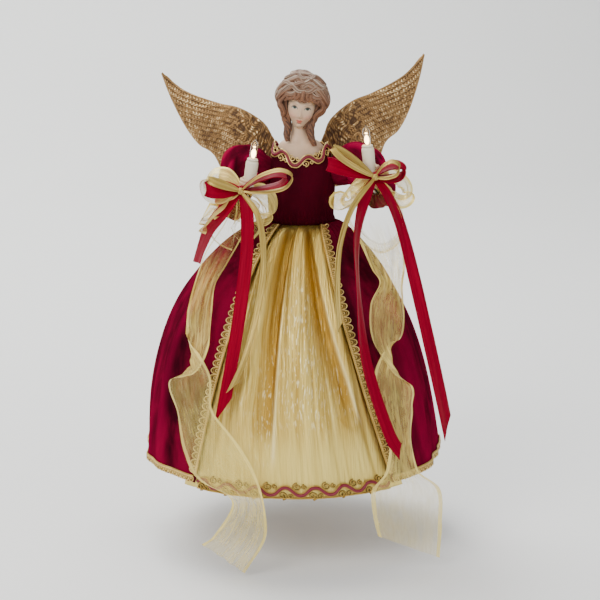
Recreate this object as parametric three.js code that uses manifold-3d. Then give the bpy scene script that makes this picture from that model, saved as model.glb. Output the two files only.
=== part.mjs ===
// Angel tree topper. A hollow cone slips over the tip of a tree and carries a dressed figure with
// foil wings, posable wire arms and a miniature lamp in each hand.
// Millimetres, +Z up. The origin is the middle of the cone's open mouth. The figure faces -Y, and
// left and right are the figure's own, so its right hand is at -X.
import * as THREE from 'three';
import { mergeVertices } from 'three/addons/utils/BufferGeometryUtils.js';
import Module from 'manifold-3d';

const wasm = await Module();
wasm.setup();

// Driving dimensions, in millimetres and degrees.

// Clearances
const seat = 0.35; // between pieces that rest on or in each other
const layerGap = 0.5; // between layers of cloth
const ballGap = 0.45; // round the sleeve's head in its armhole

// Cone that takes the tip of the tree
const coneMouthRadius = 88;
const coneTopRadius = 16.5;
const coneHeight = 164;
const coneWall = 1.5;

// Gown
const waistHeight = 177;
const waistHalfWidth = 24.5;
const waistHalfDepth = 19;
const hemRadius = 113.5;
const hemBelowMouth = 4; // how far the overskirt hangs below the cone's mouth
const panelBelowHem = 4; // how far the front panel hangs below the overskirt
const clothThickness = 1;
const liningThickness = 1.2;
const gownLean = 9.5; // the gown hangs this far to the figure's right at its fullest
const foldCount = 11;
const foldDepth = 3.2;
const openingHalfWaist = 15; // half of the overskirt's front opening at the waist
const openingHalfHem = 73; // and at the hem
const panelUnderlap = 9; // how far the front panel runs in under the overskirt

// Bodice and what it covers
const necklineFrontRise = 49; // each rise is measured from the waist
const necklineSideRise = 58.5;
const necklineBackRise = 55;
const bodiceHalfWidths = [waistHalfWidth, 25, 26, 25, 19]; // from the waist up to the neckline
const bodiceFrontDepths = [waistHalfDepth, 21.5, 21.5, 19, 15.5];
const bodiceBackDepths = [waistHalfDepth, 18, 18.5, 17.5, 12.5];
const formerRise = 38;
const formerPlugDepth = 9;
const dowelRadius = 3;
const dowelFootRise = 13;
const dowelTopRise = 72;
const crossbarRise = 35;
const wireRadius = 1;
const wireTurnClear = 2.6; // from the crossbar's end to the arm's wire, so that the arm can turn

// Head and moulded hair
const headRise = 87;
const headForward = 3.5;
const faceHalfWidth = 11.2;
const headHalfDepth = 13;
const headHalfHeight = 16.3;
const headRoll = 8;
const headNod = 7;
const neckRadius = 5.4;
const neckForward = 1.2;
const plateFootRise = 39;
const hairHalfWidth = 19.6;
const hairHalfDepth = 17;
const hairHalfHeight = 20;
const ringletRadius = 3;

// Wings
const wingThickness = 0.9;
const wingRootRise = 35;
const wingRootHalfGap = 8;
const wingRelief = 0.7;
const wingSweep = 0.15; // how far back the wing goes for each millimetre outwards
const wingCup = 7;
const wingPlateHalfWidth = 17;
const wingPlateHeight = 42;
const wingPlateThickness = 1.2;

// Arms: where each one's bends lie from its shoulder, on the figure's right and left
const sleeveBallRadius = 13;
const sleeveThickness = 1;
const armPlaces = {
  right: {
    side: -1,
    puff: [-13, -5, 3],
    elbow: [-21, -15, -14],
    forearm: [-20, -29, -22],
    wrist: [-13.5, -47, -14],
    lampFoot: [-8.8, -59, -9],
    lampLean: 8.5,
  },
  left: {
    side: 1,
    puff: [14, -5, 6],
    elbow: [25, -15, -7],
    forearm: [29, -27, -15],
    wrist: [25, -41, -7],
    lampFoot: [20.8, -53, 0],
    lampLean: -6,
  },
};
const shoulderOut = 30;
const shoulderRise = 39;
const puffRadius = 15.5;
const elbowRadius = 12.2;
const forearmRadius = 10.5;
const wristRadius = 6.4;

// Miniature lamps
const holderLength = 24;
const holderFootRadius = 3.7;
const holderRadius = 4.6;
const lampBoreRadius = 3.3;
const lampBoreDepth = 15;
const baseLength = 13;
const baseFlangeRadius = 4.1;
const baseFlange = 1.4;
const bulbRadius = 2.75;
const bulbLength = 14.5;
const bulbSeatDepth = 5;
const leadRadius = 0.8;

// Hands
const fingerRadius = 1.25;
const palmRadius = 4.4;

// Ribbons
const satinWidth = 10;
const tinselWidth = 4.5;
const ribbonThickness = 0.5;
const knotRadius = 3.2;

// Braids
const edgeBraidWidth = 6;
const hemBraidWidth = 5.5;
const braidThickness = 1.1;
const cordRadius = 0.9;
const wavePitch = 20;
const waveHeight = 3.2;

// Lamp lead inside the gown
const harnessClear = 3;

const TAU = Math.PI * 2;
const rad = THREE.MathUtils.degToRad;
const lerp = THREE.MathUtils.lerp;
const clamp = THREE.MathUtils.clamp;
const smooth = (x, low, high) => THREE.MathUtils.smoothstep(x, low, high);
const vec = (x, y, z) => new THREE.Vector3(x, y, z);
const at = (p) => vec(p[0], p[1], p[2]);

// Heights that follow the waist
const necklineFront = waistHeight + necklineFrontRise;
const necklineSide = waistHeight + necklineSideRise;
const necklineBack = waistHeight + necklineBackRise;
const formerTop = waistHeight + formerRise;
const dowelFoot = waistHeight + dowelFootRise;
const dowelTop = waistHeight + dowelTopRise;
const crossbarHeight = waistHeight + crossbarRise;
const headHeight = waistHeight + headRise;
const plateFoot = waistHeight + plateFootRise;
const wingRootHeight = waistHeight + wingRootRise;
const shoulderHeight = waistHeight + shoulderRise;

// An arm's places, moved out from its shoulder to where they lie on the figure.
function placedArm(places) {
  const { side } = places;
  const moved = ([x, y, z]) => [side * shoulderOut + x, y, shoulderHeight + z];
  const bends = ['puff', 'elbow', 'forearm', 'wrist', 'lampFoot'];
  return { ...places, ...Object.fromEntries(bends.map((bend) => [bend, moved(places[bend])])) };
}

const arms = { right: placedArm(armPlaces.right), left: placedArm(armPlaces.left) };

// Materials

const finish = (color, roughness, metalness = 0, extra = {}) =>
  new THREE.MeshStandardMaterial({ color, roughness, metalness, ...extra });
const materials = {
  card: finish(0xb79a72, 0.9),
  lining: finish(0xe8e0d2, 0.95),
  foam: finish(0xe9e6df, 0.95),
  wood: finish(0xc9a26b, 0.7),
  wire: finish(0x9a9c9f, 0.35, 1),
  lead: finish(0xf1efe6, 0.5),
  velvet: finish(0x4e0f1e, 0.75),
  lame: finish(0xd9bd72, 0.35, 0.8),
  braid: finish(0xc9a24a, 0.45, 0.7),
  wine: finish(0x6a0d27, 0.6),
  bisque: finish(0xe3c3a8, 0.6),
  hair: finish(0x8a5a41, 0.7),
  foil: finish(0xa77a3c, 0.35, 0.9),
  satin: finish(0xa80f2c, 0.4),
  tinsel: finish(0xd3b46a, 0.4, 0.7),
  sheer: finish(0xe2cf8f, 0.6, 0.1, { transparent: true, opacity: 0.45 }),
  white: finish(0xf2f0ea, 0.45),
  glass: finish(0xfff3d8, 0.08, 0, { transparent: true, opacity: 0.4 }),
};

const figure = new THREE.Group();

function piece(name, geometry, material, parent = figure) {
  const mesh = new THREE.Mesh(geometry, material);
  mesh.name = name;
  parent.add(mesh);
  return mesh;
}

// Solids and booleans

function solid(geometry) {
  const bare = geometry.clone();
  bare.deleteAttribute('normal');
  bare.deleteAttribute('uv');
  const merged = mergeVertices(bare, 1e-3);
  return new wasm.Manifold(
    new wasm.Mesh({
      numProp: 3,
      vertProperties: merged.attributes.position.array,
      triVerts: new Uint32Array(merged.index.array),
    }),
  );
}

function geometryOf(made) {
  const mesh = made.getMesh();
  const geometry = new THREE.BufferGeometry();
  geometry.setAttribute('position', new THREE.BufferAttribute(mesh.vertProperties, 3));
  geometry.setIndex(new THREE.BufferAttribute(mesh.triVerts, 1));
  return geometry;
}

// A closed surface with its faces turned outwards, whichever way round its sheets were drawn.
function indexed(points, triangles) {
  let volume = 0;
  for (let k = 0; k < triangles.length; k += 3) {
    const [a, b, c] = [0, 1, 2].map((corner) => points[triangles[k + corner]]);
    volume += a.dot(b.clone().cross(c));
  }
  const geometry = new THREE.BufferGeometry();
  geometry.setFromPoints(points);
  geometry.setIndex(volume < 0 ? triangles.toReversed() : triangles);
  return geometry;
}

const quad = (a, b, c, d) => [a, b, c, a, c, d];

// A wall between an outer and an inner sheet, each a function of column i and row j.
function wall(columns, rows, closed, outer, inner) {
  const points = [];
  const wide = closed ? columns : columns + 1;
  for (const sheet of [outer, inner])
    for (let i = 0; i < wide; i++)
      for (let j = 0; j <= rows; j++) points.push(sheet(i / columns, j / rows));
  const half = wide * (rows + 1);
  const out = (i, j) => (i % wide) * (rows + 1) + j;
  const back = (i, j) => half + out(i, j);
  const faces = [];
  for (let i = 0; i < columns; i++) {
    for (let j = 0; j < rows; j++) {
      faces.push(...quad(out(i, j), out(i, j + 1), out(i + 1, j + 1), out(i + 1, j)));
      faces.push(...quad(back(i, j), back(i + 1, j), back(i + 1, j + 1), back(i, j + 1)));
    }
    faces.push(...quad(out(i, 0), out(i + 1, 0), back(i + 1, 0), back(i, 0)));
    faces.push(...quad(out(i, rows), back(i, rows), back(i + 1, rows), out(i + 1, rows)));
  }
  if (!closed) {
    for (let j = 0; j < rows; j++) {
      faces.push(...quad(out(0, j), back(0, j), back(0, j + 1), out(0, j + 1)));
      faces.push(...quad(out(columns, j), out(columns, j + 1), back(columns, j + 1), back(columns, j)));
    }
  }
  return indexed(points, faces);
}

// A closed solid through a stack of rings with the same number of points, capped at both ends.
function loft(rings) {
  const count = rings[0].length;
  const points = rings.flat();
  const faces = [];
  for (let k = 0; k < rings.length - 1; k++)
    for (let i = 0; i < count; i++) {
      const next = (i + 1) % count;
      faces.push(...quad(k * count + i, k * count + next, (k + 1) * count + next, (k + 1) * count + i));
    }
  const middle = (ring) => ring.reduce((sum, p) => sum.add(p), vec(0, 0, 0)).divideScalar(count);
  const first = points.push(middle(rings[0])) - 1;
  const last = points.push(middle(rings.at(-1))) - 1;
  const top = (rings.length - 1) * count;
  for (let i = 0; i < count; i++) {
    const next = (i + 1) % count;
    faces.push(first, next, i, last, top + i, top + next);
  }
  return indexed(points, faces);
}

const ellipseRing = (count, halfWidth, halfDepth, centre) =>
  Array.from({ length: count }, (_, i) => {
    const angle = (TAU * i) / count;
    return vec(centre.x + halfWidth * Math.cos(angle), centre.y + halfDepth * Math.sin(angle), centre.z);
  });

// A ring of points round a curve at step k of its frames.
function ringAt(curve, frames, k, steps, radius, sides) {
  const centre = curve.getPointAt(k / steps);
  return Array.from({ length: sides }, (_, i) => {
    const angle = (TAU * i) / sides;
    return centre
      .clone()
      .addScaledVector(frames.normals[k], radius * Math.cos(angle))
      .addScaledVector(frames.binormals[k], radius * Math.sin(angle));
  });
}

// A round-sectioned solid along a curve, whose radius changes from end to end.
function taperedTube(curve, radiusAt, steps, sides) {
  const frames = curve.computeFrenetFrames(steps, false);
  const rings = Array.from({ length: steps + 1 }, (_, k) =>
    ringAt(curve, frames, k, steps, radiusAt(k / steps), sides),
  );
  return loft(rings);
}

function roundSection(radius, sides) {
  const shape = new THREE.Shape();
  for (let i = 0; i < sides; i++) {
    const angle = (TAU * i) / sides;
    const point = [radius * Math.cos(angle), radius * Math.sin(angle)];
    if (i) shape.lineTo(...point);
    else shape.moveTo(...point);
  }
  return shape;
}

const wireAlong = (points, radius, steps, sides = 8) =>
  new THREE.ExtrudeGeometry(roundSection(radius, sides), {
    steps,
    extrudePath: new THREE.CatmullRomCurve3(points),
  });

const ball = (radius, centre, across = 20, down = 14) =>
  new THREE.SphereGeometry(radius, across, down).translate(centre.x, centre.y, centre.z);

function rod(radius, from, to, sides = 16) {
  const length = from.distanceTo(to);
  const turn = new THREE.Quaternion().setFromUnitVectors(vec(0, 1, 0), to.clone().sub(from).normalize());
  const middle = from.clone().add(to).multiplyScalar(0.5);
  return new THREE.CylinderGeometry(radius, radius, length, sides)
    .applyQuaternion(turn)
    .translate(middle.x, middle.y, middle.z);
}

// A smooth value through evenly spaced knots.
function through(values, t) {
  const spline = new THREE.SplineCurve(values.map((value, i) => new THREE.Vector2(i, value)));
  return spline.getPoint(clamp(t, 0, 1)).y;
}

// Turned pieces are drawn as radius and height, and spin about +Z.
function turned(profile, sides) {
  const points = profile.map(([radius, height]) => new THREE.Vector2(radius, height));
  return new THREE.LatheGeometry(points, sides).rotateX(Math.PI / 2);
}

// Cone

const coneSlope = (coneMouthRadius - coneTopRadius) / coneHeight;
const coneRadiusAt = (height) => coneMouthRadius - coneSlope * height;

function cone() {
  const profile = [
    [coneMouthRadius - coneWall, 0],
    [coneMouthRadius, 0],
    [coneTopRadius, coneHeight],
    [coneTopRadius - coneWall, coneHeight],
    [coneMouthRadius - coneWall, 0],
  ];
  return turned(profile, 32);
}

// Gown: layers of cloth that share one bell-shaped profile

// Share of the way from the waist to the hem, 0 to 1, to radius and height of the outermost layer.
function bell(share, below) {
  const drop = share * share;
  const fullness = 0.5 * (1 - (1 - drop) ** 3) + 0.5 * drop ** 0.4;
  return {
    radius: waistHalfWidth + (hemRadius - waistHalfWidth) * fullness,
    height: waistHeight - (waistHeight + below) * drop,
  };
}

const lean = (share) => -gownLean * Math.sin(0.8 * Math.PI * share ** 1.2);
const depthRatio = (share) => lerp(waistHalfDepth / waistHalfWidth, 1, smooth(share, 0, 0.6));

// A point of the gown at an angle from the front, in the depth of the layers, 0 being outermost.
function gownPoint(angle, share, depth, fold = 0, below = hemBelowMouth) {
  const step = 0.02;
  const low = bell(Math.max(share - step, 0), below);
  const high = bell(Math.min(share + step, 1), below);
  const here = bell(share, below);
  const slope = Math.hypot(high.radius - low.radius, high.height - low.height);
  const outwards = (low.height - high.height) / slope;
  const upwards = (high.radius - low.radius) / slope;
  const radius = here.radius + outwards * (fold - depth);
  const height = here.height + upwards * (fold - depth);
  return vec(
    radius * Math.sin(angle) + lean(share),
    -radius * depthRatio(share) * Math.cos(angle),
    height,
  );
}

// Half of the front opening, measured straight across, and its angle at the bell's radius.
const openingHalf = (share) => lerp(openingHalfWaist, openingHalfHem, (share * share) ** 0.8);
const openingAngle = (share, extra = 0) =>
  Math.asin(Math.min((openingHalf(share) + extra) / bell(share, hemBelowMouth).radius, 0.98));

// Folds of the overskirt die out at its front edges, so that they lie flat on the panel.
function overskirtFold(angle, share) {
  const fromEdge = Math.min(angle, TAU - angle) - openingAngle(share);
  const strength = smooth(fromEdge, 0.05, 0.5) * smooth(share, 0.05, 0.9);
  const wave = Math.sin(foldCount * angle + 2.2 * share) + 0.45 * Math.sin((foldCount + 5) * angle - 1.3);
  return foldDepth * strength * wave * 0.7;
}

const overskirtColumns = 42;

// A point of the overskirt, u running round from its left front edge to its right one. Between its
// columns the cloth lies straight, so that braid sewn on it follows the same faces.
function overskirtPoint(u, share, depth) {
  const column = clamp(Math.floor(u * overskirtColumns + 1e-6), 0, overskirtColumns - 1);
  const edge = openingAngle(share);
  const [near, far] = [column, column + 1].map((k) => {
    const angle = lerp(edge, TAU - edge, k / overskirtColumns);
    return gownPoint(angle, share, depth, overskirtFold(angle, share));
  });
  return near.lerp(far, u * overskirtColumns - column);
}

function overskirt() {
  const sheet = (depth) => (u, share) => overskirtPoint(u, share, depth);
  return wall(overskirtColumns, 7, false, sheet(0), sheet(clothThickness));
}

// Depth of each layer under the overskirt's outer face, left clear of the deepest fold.
const panelDepth = clothThickness + layerGap;
const liningDepth = panelDepth + clothThickness + layerGap + foldDepth;

// The panel's own long folds: place across the panel from -1 to 1, width, depth and lowest share.
const panelFolds = [
  { place: -0.2, width: 0.16, depth: 3, end: 0.86 },
  { place: 0.3, width: 0.2, depth: 2.6, end: 0.78 },
  { place: -0.55, width: 0.12, depth: 2, end: 0.95 },
];

function panelFold(across, share) {
  const settle = smooth(1 - Math.abs(across), 0.05, 0.35);
  const dips = panelFolds.reduce((sum, { place, width, depth, end }) => {
    const run = smooth(share, 0.03, 0.3) * (1 - smooth(share, end - 0.12, end));
    return sum - depth * run * Math.exp(-(((across - place) / width) ** 2));
  }, 0);
  return settle * dips;
}

function frontPanel() {
  const sheet = (depth) => (u, share) => {
    const across = 2 * u - 1;
    const angle = across * openingAngle(share, panelUnderlap);
    const fold = panelFold(across, share);
    return gownPoint(angle, share, panelDepth + depth, fold, hemBelowMouth + panelBelowHem);
  };
  return wall(16, 8, false, sheet(0), sheet(clothThickness));
}

function lining() {
  const sheet = (depth) => (u, share) => gownPoint(TAU * u, share, liningDepth + depth);
  return wall(24, 6, true, sheet(0), sheet(liningThickness));
}

// Braids sewn on the gown

// The hem braid's width as a share of the gown's length.
const hemBraidShare = hemBraidWidth / (2 * (waistHeight + hemBelowMouth));

// Along one front edge of the overskirt, down to the hem braid.
function frontEdgeBraid(side) {
  const sheet = (depth) => (u, v) => {
    const share = lerp(0.06, 1 - 1.4 * hemBraidShare, side > 0 ? u : 1 - u);
    const radius = bell(share, hemBelowMouth).radius;
    const from = openingAngle(share) + 0.4 / radius;
    const angle = from + ((1 - v) * edgeBraidWidth) / radius;
    return gownPoint(side * angle, share, depth - seat, overskirtFold(angle, share));
  };
  return wall(24, 1, false, sheet(-braidThickness), sheet(0));
}

// Round the overskirt's hem, from one front edge to the other.
function hemBraid() {
  const sheet = (depth) => (u, v) => overskirtPoint(u, 1 - (1 - v) * hemBraidShare, depth - seat);
  return wall(overskirtColumns, 1, false, sheet(-braidThickness), sheet(0));
}

// A round cord through points that run in waves along a line, closed on itself or with two ends.
function wavedCord(count, line, closed) {
  const points = Array.from({ length: closed ? count : count + 1 }, (_, i) => line(i / count));
  const curve = new THREE.CatmullRomCurve3(points, closed);
  const sides = 5;
  if (!closed) return taperedTube(curve, () => cordRadius, count, sides);
  const frames = curve.computeFrenetFrames(count, true);
  const rings = Array.from({ length: count }, (_, k) => ringAt(curve, frames, k, count, cordRadius, sides));
  const faces = [];
  for (let k = 0; k < count; k++)
    for (let i = 0; i < sides; i++) {
      const next = (i + 1) % sides;
      const far = ((k + 1) % count) * sides;
      faces.push(...quad(k * sides + i, k * sides + next, far + next, far + i));
    }
  return indexed(rings.flat(), faces);
}

const pointsPerWave = 6;

function panelHemBraid() {
  const below = hemBelowMouth + panelBelowHem;
  const halfAngle = openingAngle(1) - 2 / hemRadius;
  const waves = Math.round((2 * halfAngle * hemRadius) / wavePitch);
  const stand = cordRadius + seat;
  return wavedCord(
    waves * pointsPerWave,
    (u) => {
      const rise = waveHeight * (1.25 + Math.sin(TAU * waves * u));
      const share = 1 - rise / (2 * (waistHeight + below));
      const across = lerp(-1, 1, u) * (halfAngle / openingAngle(1, panelUnderlap));
      const angle = lerp(-halfAngle, halfAngle, u);
      return gownPoint(angle, share, panelDepth - stand, panelFold(across, share), below);
    },
    false,
  );
}

// Bodice, and the former that it is glued over

const necklineHeight = (angle) => {
  const low = Math.cos(angle) > 0 ? necklineFront : necklineBack;
  return lerp(necklineSide, low, Math.cos(angle) ** 2);
};

// A point of the bodice at an angle from the front; rise runs from 0 at the waist to 1 at the neckline.
function bodicePoint(angle, rise, inset) {
  const halfWidth = through(bodiceHalfWidths, rise) - inset;
  const halfDepth = through(Math.cos(angle) > 0 ? bodiceFrontDepths : bodiceBackDepths, rise) - inset;
  const foot = waistHeight + seat;
  return vec(
    halfWidth * Math.sin(angle),
    -halfDepth * Math.cos(angle),
    lerp(foot, necklineHeight(angle), rise),
  );
}

const shoulder = (side) => vec(side * shoulderOut, 0, shoulderHeight);
const armholes = [-1, 1].map((side) => solid(ball(sleeveBallRadius + ballGap, shoulder(side), 14, 10)));

const cutArmholes = (made) => armholes.reduce((rest, hole) => rest.subtract(hole), made);

function bodice() {
  const sheet = (inset) => (u, v) => bodicePoint(TAU * u, 1 - v, inset);
  return geometryOf(cutArmholes(solid(wall(20, 5, true, sheet(0), sheet(clothThickness)))));
}

const formerInset = clothThickness + seat;

function formerSolid() {
  const bands = 4;
  const sides = 18;
  const plugRadius = coneTopRadius - coneWall - seat;
  const plugFoot = coneHeight - formerPlugDepth;
  const shelf = coneHeight + seat;
  const plugRing = (height) => ellipseRing(sides, plugRadius, plugRadius, vec(0, 0, height));
  const rings = [plugRing(plugFoot), plugRing(shelf)];
  const waist = waistHeight - 2;
  rings.push(
    ellipseRing(sides, waistHalfWidth - 4, waistHalfDepth - 3, vec(0, 0, shelf)),
    ellipseRing(sides, waistHalfWidth - 3.5, waistHalfDepth - 3, vec(0, 0, waist)),
  );
  for (let k = 0; k <= bands; k++) {
    const height = lerp(waistHeight + 2, formerTop, k / bands);
    const ring = Array.from({ length: sides }, (_, i) => {
      const angle = TAU * (i / sides + 0.25);
      const rise = (height - waistHeight) / (necklineHeight(angle) - waistHeight);
      return bodicePoint(angle, rise, formerInset + 1.2).setZ(height);
    });
    rings.push(ring);
  }
  return solid(loft(rings));
}

function former() {
  const dowelHole = solid(
    rod(dowelRadius + seat, vec(0, 0, dowelFoot - seat), vec(0, 0, formerTop + 1), 14),
  );
  const barHole = solid(
    rod(
      wireRadius + seat,
      vec(-shoulderOut, crossbarBack, crossbarHeight),
      vec(shoulderOut, crossbarBack, crossbarHeight),
      12,
    ),
  );
  return geometryOf(cutArmholes(formerSolid()).subtract(dowelHole).subtract(barHole));
}

// The crossbar runs behind the neck dowel, and each arm's wire starts where the bar ends.
const crossbarBack = dowelRadius + wireRadius + 1.2;
const crossbarHalf = shoulderOut - 4;

function crossbar() {
  const bar = [-1, 1].map((side) => vec(side * crossbarHalf, crossbarBack, crossbarHeight));
  return rod(wireRadius, bar[0], bar[1], 10);
}

// Head: shoulder plate, neck and face in one casting, with the hair moulded over it

const headCentre = vec(0.6, -headForward, headHeight);
const headTurn = new THREE.Euler(rad(headNod), rad(headRoll), 0, 'XYZ');

const bump = (x, y, centreX, centreY, wide, high) =>
  Math.exp(-(((x - centreX) / wide) ** 2) - ((y - centreY) / high) ** 2);

// The head as a ball drawn to its size, with brow, nose, lips and chin raised at the front.
function headForm(grow, across = 20, down = 16) {
  const form = new THREE.SphereGeometry(1, across, down).rotateX(Math.PI / 2);
  const place = form.attributes.position;
  for (let i = 0; i < place.count; i++) {
    const p = vec(place.getX(i), place.getY(i), place.getZ(i));
    const front = smooth(-p.y, 0.1, 0.6);
    const jaw = 1 - 0.42 * smooth(-p.z, 0.05, 1);
    const right = p.x * faceHalfWidth;
    const up = p.z * headHalfHeight;
    const nose = 2.3 * bump(right, up, 0, -3.6, 1.9, 3.2);
    const lips = 1.0 * bump(right, up, 0, -8.6, 2.6, 1.5);
    const chin = 1.6 * bump(right, up, 0, -13, 3.6, 2.6);
    const sockets = -1.1 * (bump(right, up, -4.6, 0, 2.6, 1.9) + bump(right, up, 4.6, 0, 2.6, 1.9));
    const raised = front * (nose + lips + chin + sockets);
    place.setXYZ(
      i,
      p.x * jaw * (faceHalfWidth + grow),
      p.y * (1 - 0.12 * smooth(-p.z, 0.2, 1)) * (headHalfDepth + grow) - raised,
      p.z * (headHalfHeight + grow),
    );
  }
  return form
    .applyMatrix4(new THREE.Matrix4().makeRotationFromEuler(headTurn))
    .translate(headCentre.x, headCentre.y, headCentre.z);
}

// Rings of the shoulder plate and neck: height, half width and half depth.
function plateForm(grow, sides = 20) {
  const rise = (share) => lerp(plateFoot, headHeight - 9, share);
  const sections = [
    [rise(0) - (grow ? 1 : 0), 20.5, 13.4],
    [rise(0.2), 19.8, 12.4],
    [rise(0.42), 18, 11.2],
    [rise(0.53), 15.2, 9.8],
    [rise(0.62), 10.4, 7.9],
    [rise(0.72), neckRadius + 1.6, neckRadius + 0.9],
    [rise(0.82), neckRadius, neckRadius + 0.2],
    [rise(1), neckRadius + 0.2, neckRadius + 0.2],
  ];
  return loft(
    sections.map(([height, halfWidth, halfDepth]) => {
      const forward = neckForward * smooth(height, plateFoot + 12, headHeight - 12);
      return ellipseRing(sides, halfWidth + grow, halfDepth + grow, vec(0, -forward, height));
    }),
  );
}

function headBust() {
  const dowelHole = solid(
    rod(dowelRadius + seat, vec(0, 0, plateFoot - 1), vec(0, 0, dowelTop + seat), 14),
  );
  const cast = solid(headForm(0)).add(solid(plateForm(0)));
  return geometryOf(cutArmholes(cast).subtract(dowelHole));
}

// The hair's outer form: a swept-back mass whose locks run as shallow grooves from brow to crown.
function hairMass() {
  const form = new THREE.SphereGeometry(1, 20, 11).rotateX(Math.PI / 2);
  const place = form.attributes.position;
  for (let i = 0; i < place.count; i++) {
    const p = vec(place.getX(i), place.getY(i), place.getZ(i));
    const round = Math.atan2(p.x, -p.y);
    const locks = 1 + 0.035 * Math.sin(8 * round + 3 * p.z) * smooth(1 - Math.abs(p.z), 0.02, 0.3);
    const nape = 1 - 0.3 * smooth(-p.z, 0.2, 1);
    place.setXYZ(
      i,
      p.x * hairHalfWidth * locks * nape,
      p.y * hairHalfDepth * locks,
      p.z * hairHalfHeight,
    );
  }
  return form.translate(headCentre.x + 1.2, headCentre.y + 4, headHeight + 6.6);
}

// One ringlet beside the neck, waving as it hangs.
function ringlet(side, length) {
  const top = vec(headCentre.x + side * (faceHalfWidth + 1.6), headCentre.y + 3, headHeight - 3);
  const bends = 6;
  const points = Array.from({ length: bends + 1 }, (_, k) => {
    const share = k / bends;
    return vec(
      top.x + side * 1.4 * Math.sin(share * TAU * 1.25),
      top.y + 1.2 * Math.cos(share * TAU * 1.25),
      top.z - length * share,
    );
  });
  const radiusAt = (share) => ringletRadius * (1 - 0.55 * share) * (1 + 0.12 * Math.sin(share * TAU * 3));
  return taperedTube(new THREE.CatmullRomCurve3(points), radiusAt, 8, 6);
}

function hair() {
  const knotHeight = headHeight + hairHalfHeight + 3;
  const knot = new THREE.SphereGeometry(1, 12, 8).scale(9, 8.5, 6.2);
  knot.translate(headCentre.x + 1.5, headCentre.y + 6, knotHeight);
  const face = new THREE.SphereGeometry(1, 16, 10).scale(faceHalfWidth + 0.2, 13, headHalfHeight - 1.5);
  face.translate(headCentre.x, headCentre.y - headHalfDepth - 1, headHeight - 6);
  return geometryOf(
    solid(hairMass())
      .add(solid(knot))
      .add(solid(ringlet(-1, 20)))
      .add(solid(ringlet(1, 24)))
      .subtract(solid(face))
      .subtract(solid(headForm(seat * 2, 12, 9)))
      .subtract(solid(plateForm(seat * 2, 10))),
  );
}

// Neckline braid: a waved cord that lies on the bodice just below its top edge.
function necklineBraid() {
  const round = TAU * Math.sqrt((bodiceHalfWidths[4] ** 2 + bodiceFrontDepths[4] ** 2) / 2);
  const waves = Math.round(round / (wavePitch * 0.87));
  return wavedCord(
    waves * pointsPerWave,
    (u) => {
      const rise = 0.975 + 0.022 * Math.sin(TAU * waves * u);
      const edge = bodicePoint(TAU * u, rise, 0);
      const out = vec(edge.x, edge.y, 0).normalize();
      return edge.addScaledVector(out, cordRadius + 0.9).add(vec(0, 0, cordRadius + 0.6));
    },
    true,
  );
}

// Wings

const wingUpper = new THREE.SplineCurve(
  [[-2, 2], [10.7, 25.5], [18, 39], [34.8, 50.9], [52.2, 56.3], [76.1, 67], [92.7, 82]].map(
    ([x, z]) => new THREE.Vector2(x, z),
  ),
);
const wingLower = new THREE.SplineCurve(
  [[-2, -14], [26, -13], [48, -5], [58.6, 16.2], [69.6, 25.1], [79, 40], [88, 62], [93.6, 81]].map(
    ([x, z]) => new THREE.Vector2(x, z),
  ),
);
const featherRows = 4;

// One wing, drawn outwards from its root for the given side and lifted by the given angle.
// Ridges along the wing are rows of feathers, and the far face follows the near one.
function wing(side, lift) {
  const columns = 20;
  const rows = featherRows * 2;
  const face = (depth) => (u, v) => {
    const from = side > 0 ? u : 1 - u;
    const high = wingUpper.getPoint(from);
    const low = wingLower.getPoint(from);
    const flat = high.lerp(low, v);
    const edge = Math.sin(Math.PI * clamp(v, 0, 1));
    const ridge = Math.cos(Math.PI * v * rows) * wingRelief * edge * smooth(from, 0.06, 0.2);
    const cup = -wingCup * edge * Math.sin(Math.PI * from) * 0.5;
    const turn = rad(lift);
    const x = flat.x * Math.cos(turn) - flat.y * Math.sin(turn);
    const z = flat.x * Math.sin(turn) + flat.y * Math.cos(turn);
    const back = wingRootBack + wingSweep * Math.max(x, 0) + cup + ridge * 0.5;
    return vec(side * (wingRootHalfGap + x), back + depth, wingRootHeight + z);
  };
  return wall(columns, rows, false, face(0), face(wingThickness));
}

const wingPlateBack = Math.max(...bodiceBackDepths) + seat;
const wingRootBack = wingPlateBack + wingPlateThickness + seat + wingCup * 0.1;

// The card that both wings are glued to, on the back of the bodice.
function wingPlate() {
  const half = wingPlateHeight / 2;
  const shape = new THREE.Shape();
  const corner = 5;
  shape.moveTo(-wingPlateHalfWidth + corner, -half);
  shape.lineTo(wingPlateHalfWidth - corner, -half);
  shape.absarc(wingPlateHalfWidth - corner, -half + corner, corner, -Math.PI / 2, 0, false);
  shape.lineTo(wingPlateHalfWidth, half - corner);
  shape.absarc(wingPlateHalfWidth - corner, half - corner, corner, 0, Math.PI / 2, false);
  shape.lineTo(-wingPlateHalfWidth + corner, half);
  shape.absarc(-wingPlateHalfWidth + corner, half - corner, corner, Math.PI / 2, Math.PI, false);
  shape.lineTo(-wingPlateHalfWidth, -half + corner);
  shape.absarc(-wingPlateHalfWidth + corner, -half + corner, corner, Math.PI, Math.PI * 1.5, false);
  const extrusion = { depth: wingPlateThickness, bevelEnabled: false, curveSegments: 3 };
  return new THREE.ExtrudeGeometry(shape, extrusion)
    .rotateX(Math.PI / 2)
    .translate(0, wingPlateBack + wingPlateThickness, wingRootHeight);
}

// Arms

// The sleeve starts inside its armhole with a ball round the shoulder, so it turns there as the arm
// is posed, and is open at both ends.
const sleeveStart = 10;

function armCurve(arm) {
  const centre = shoulder(arm.side);
  const out = at(arm.puff).sub(centre).normalize();
  const start = centre.clone().addScaledVector(out, -sleeveStart);
  const bends = [arm.puff, arm.elbow, arm.forearm, arm.wrist].map(at);
  return new THREE.CatmullRomCurve3([start, centre, ...bends]);
}

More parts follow.
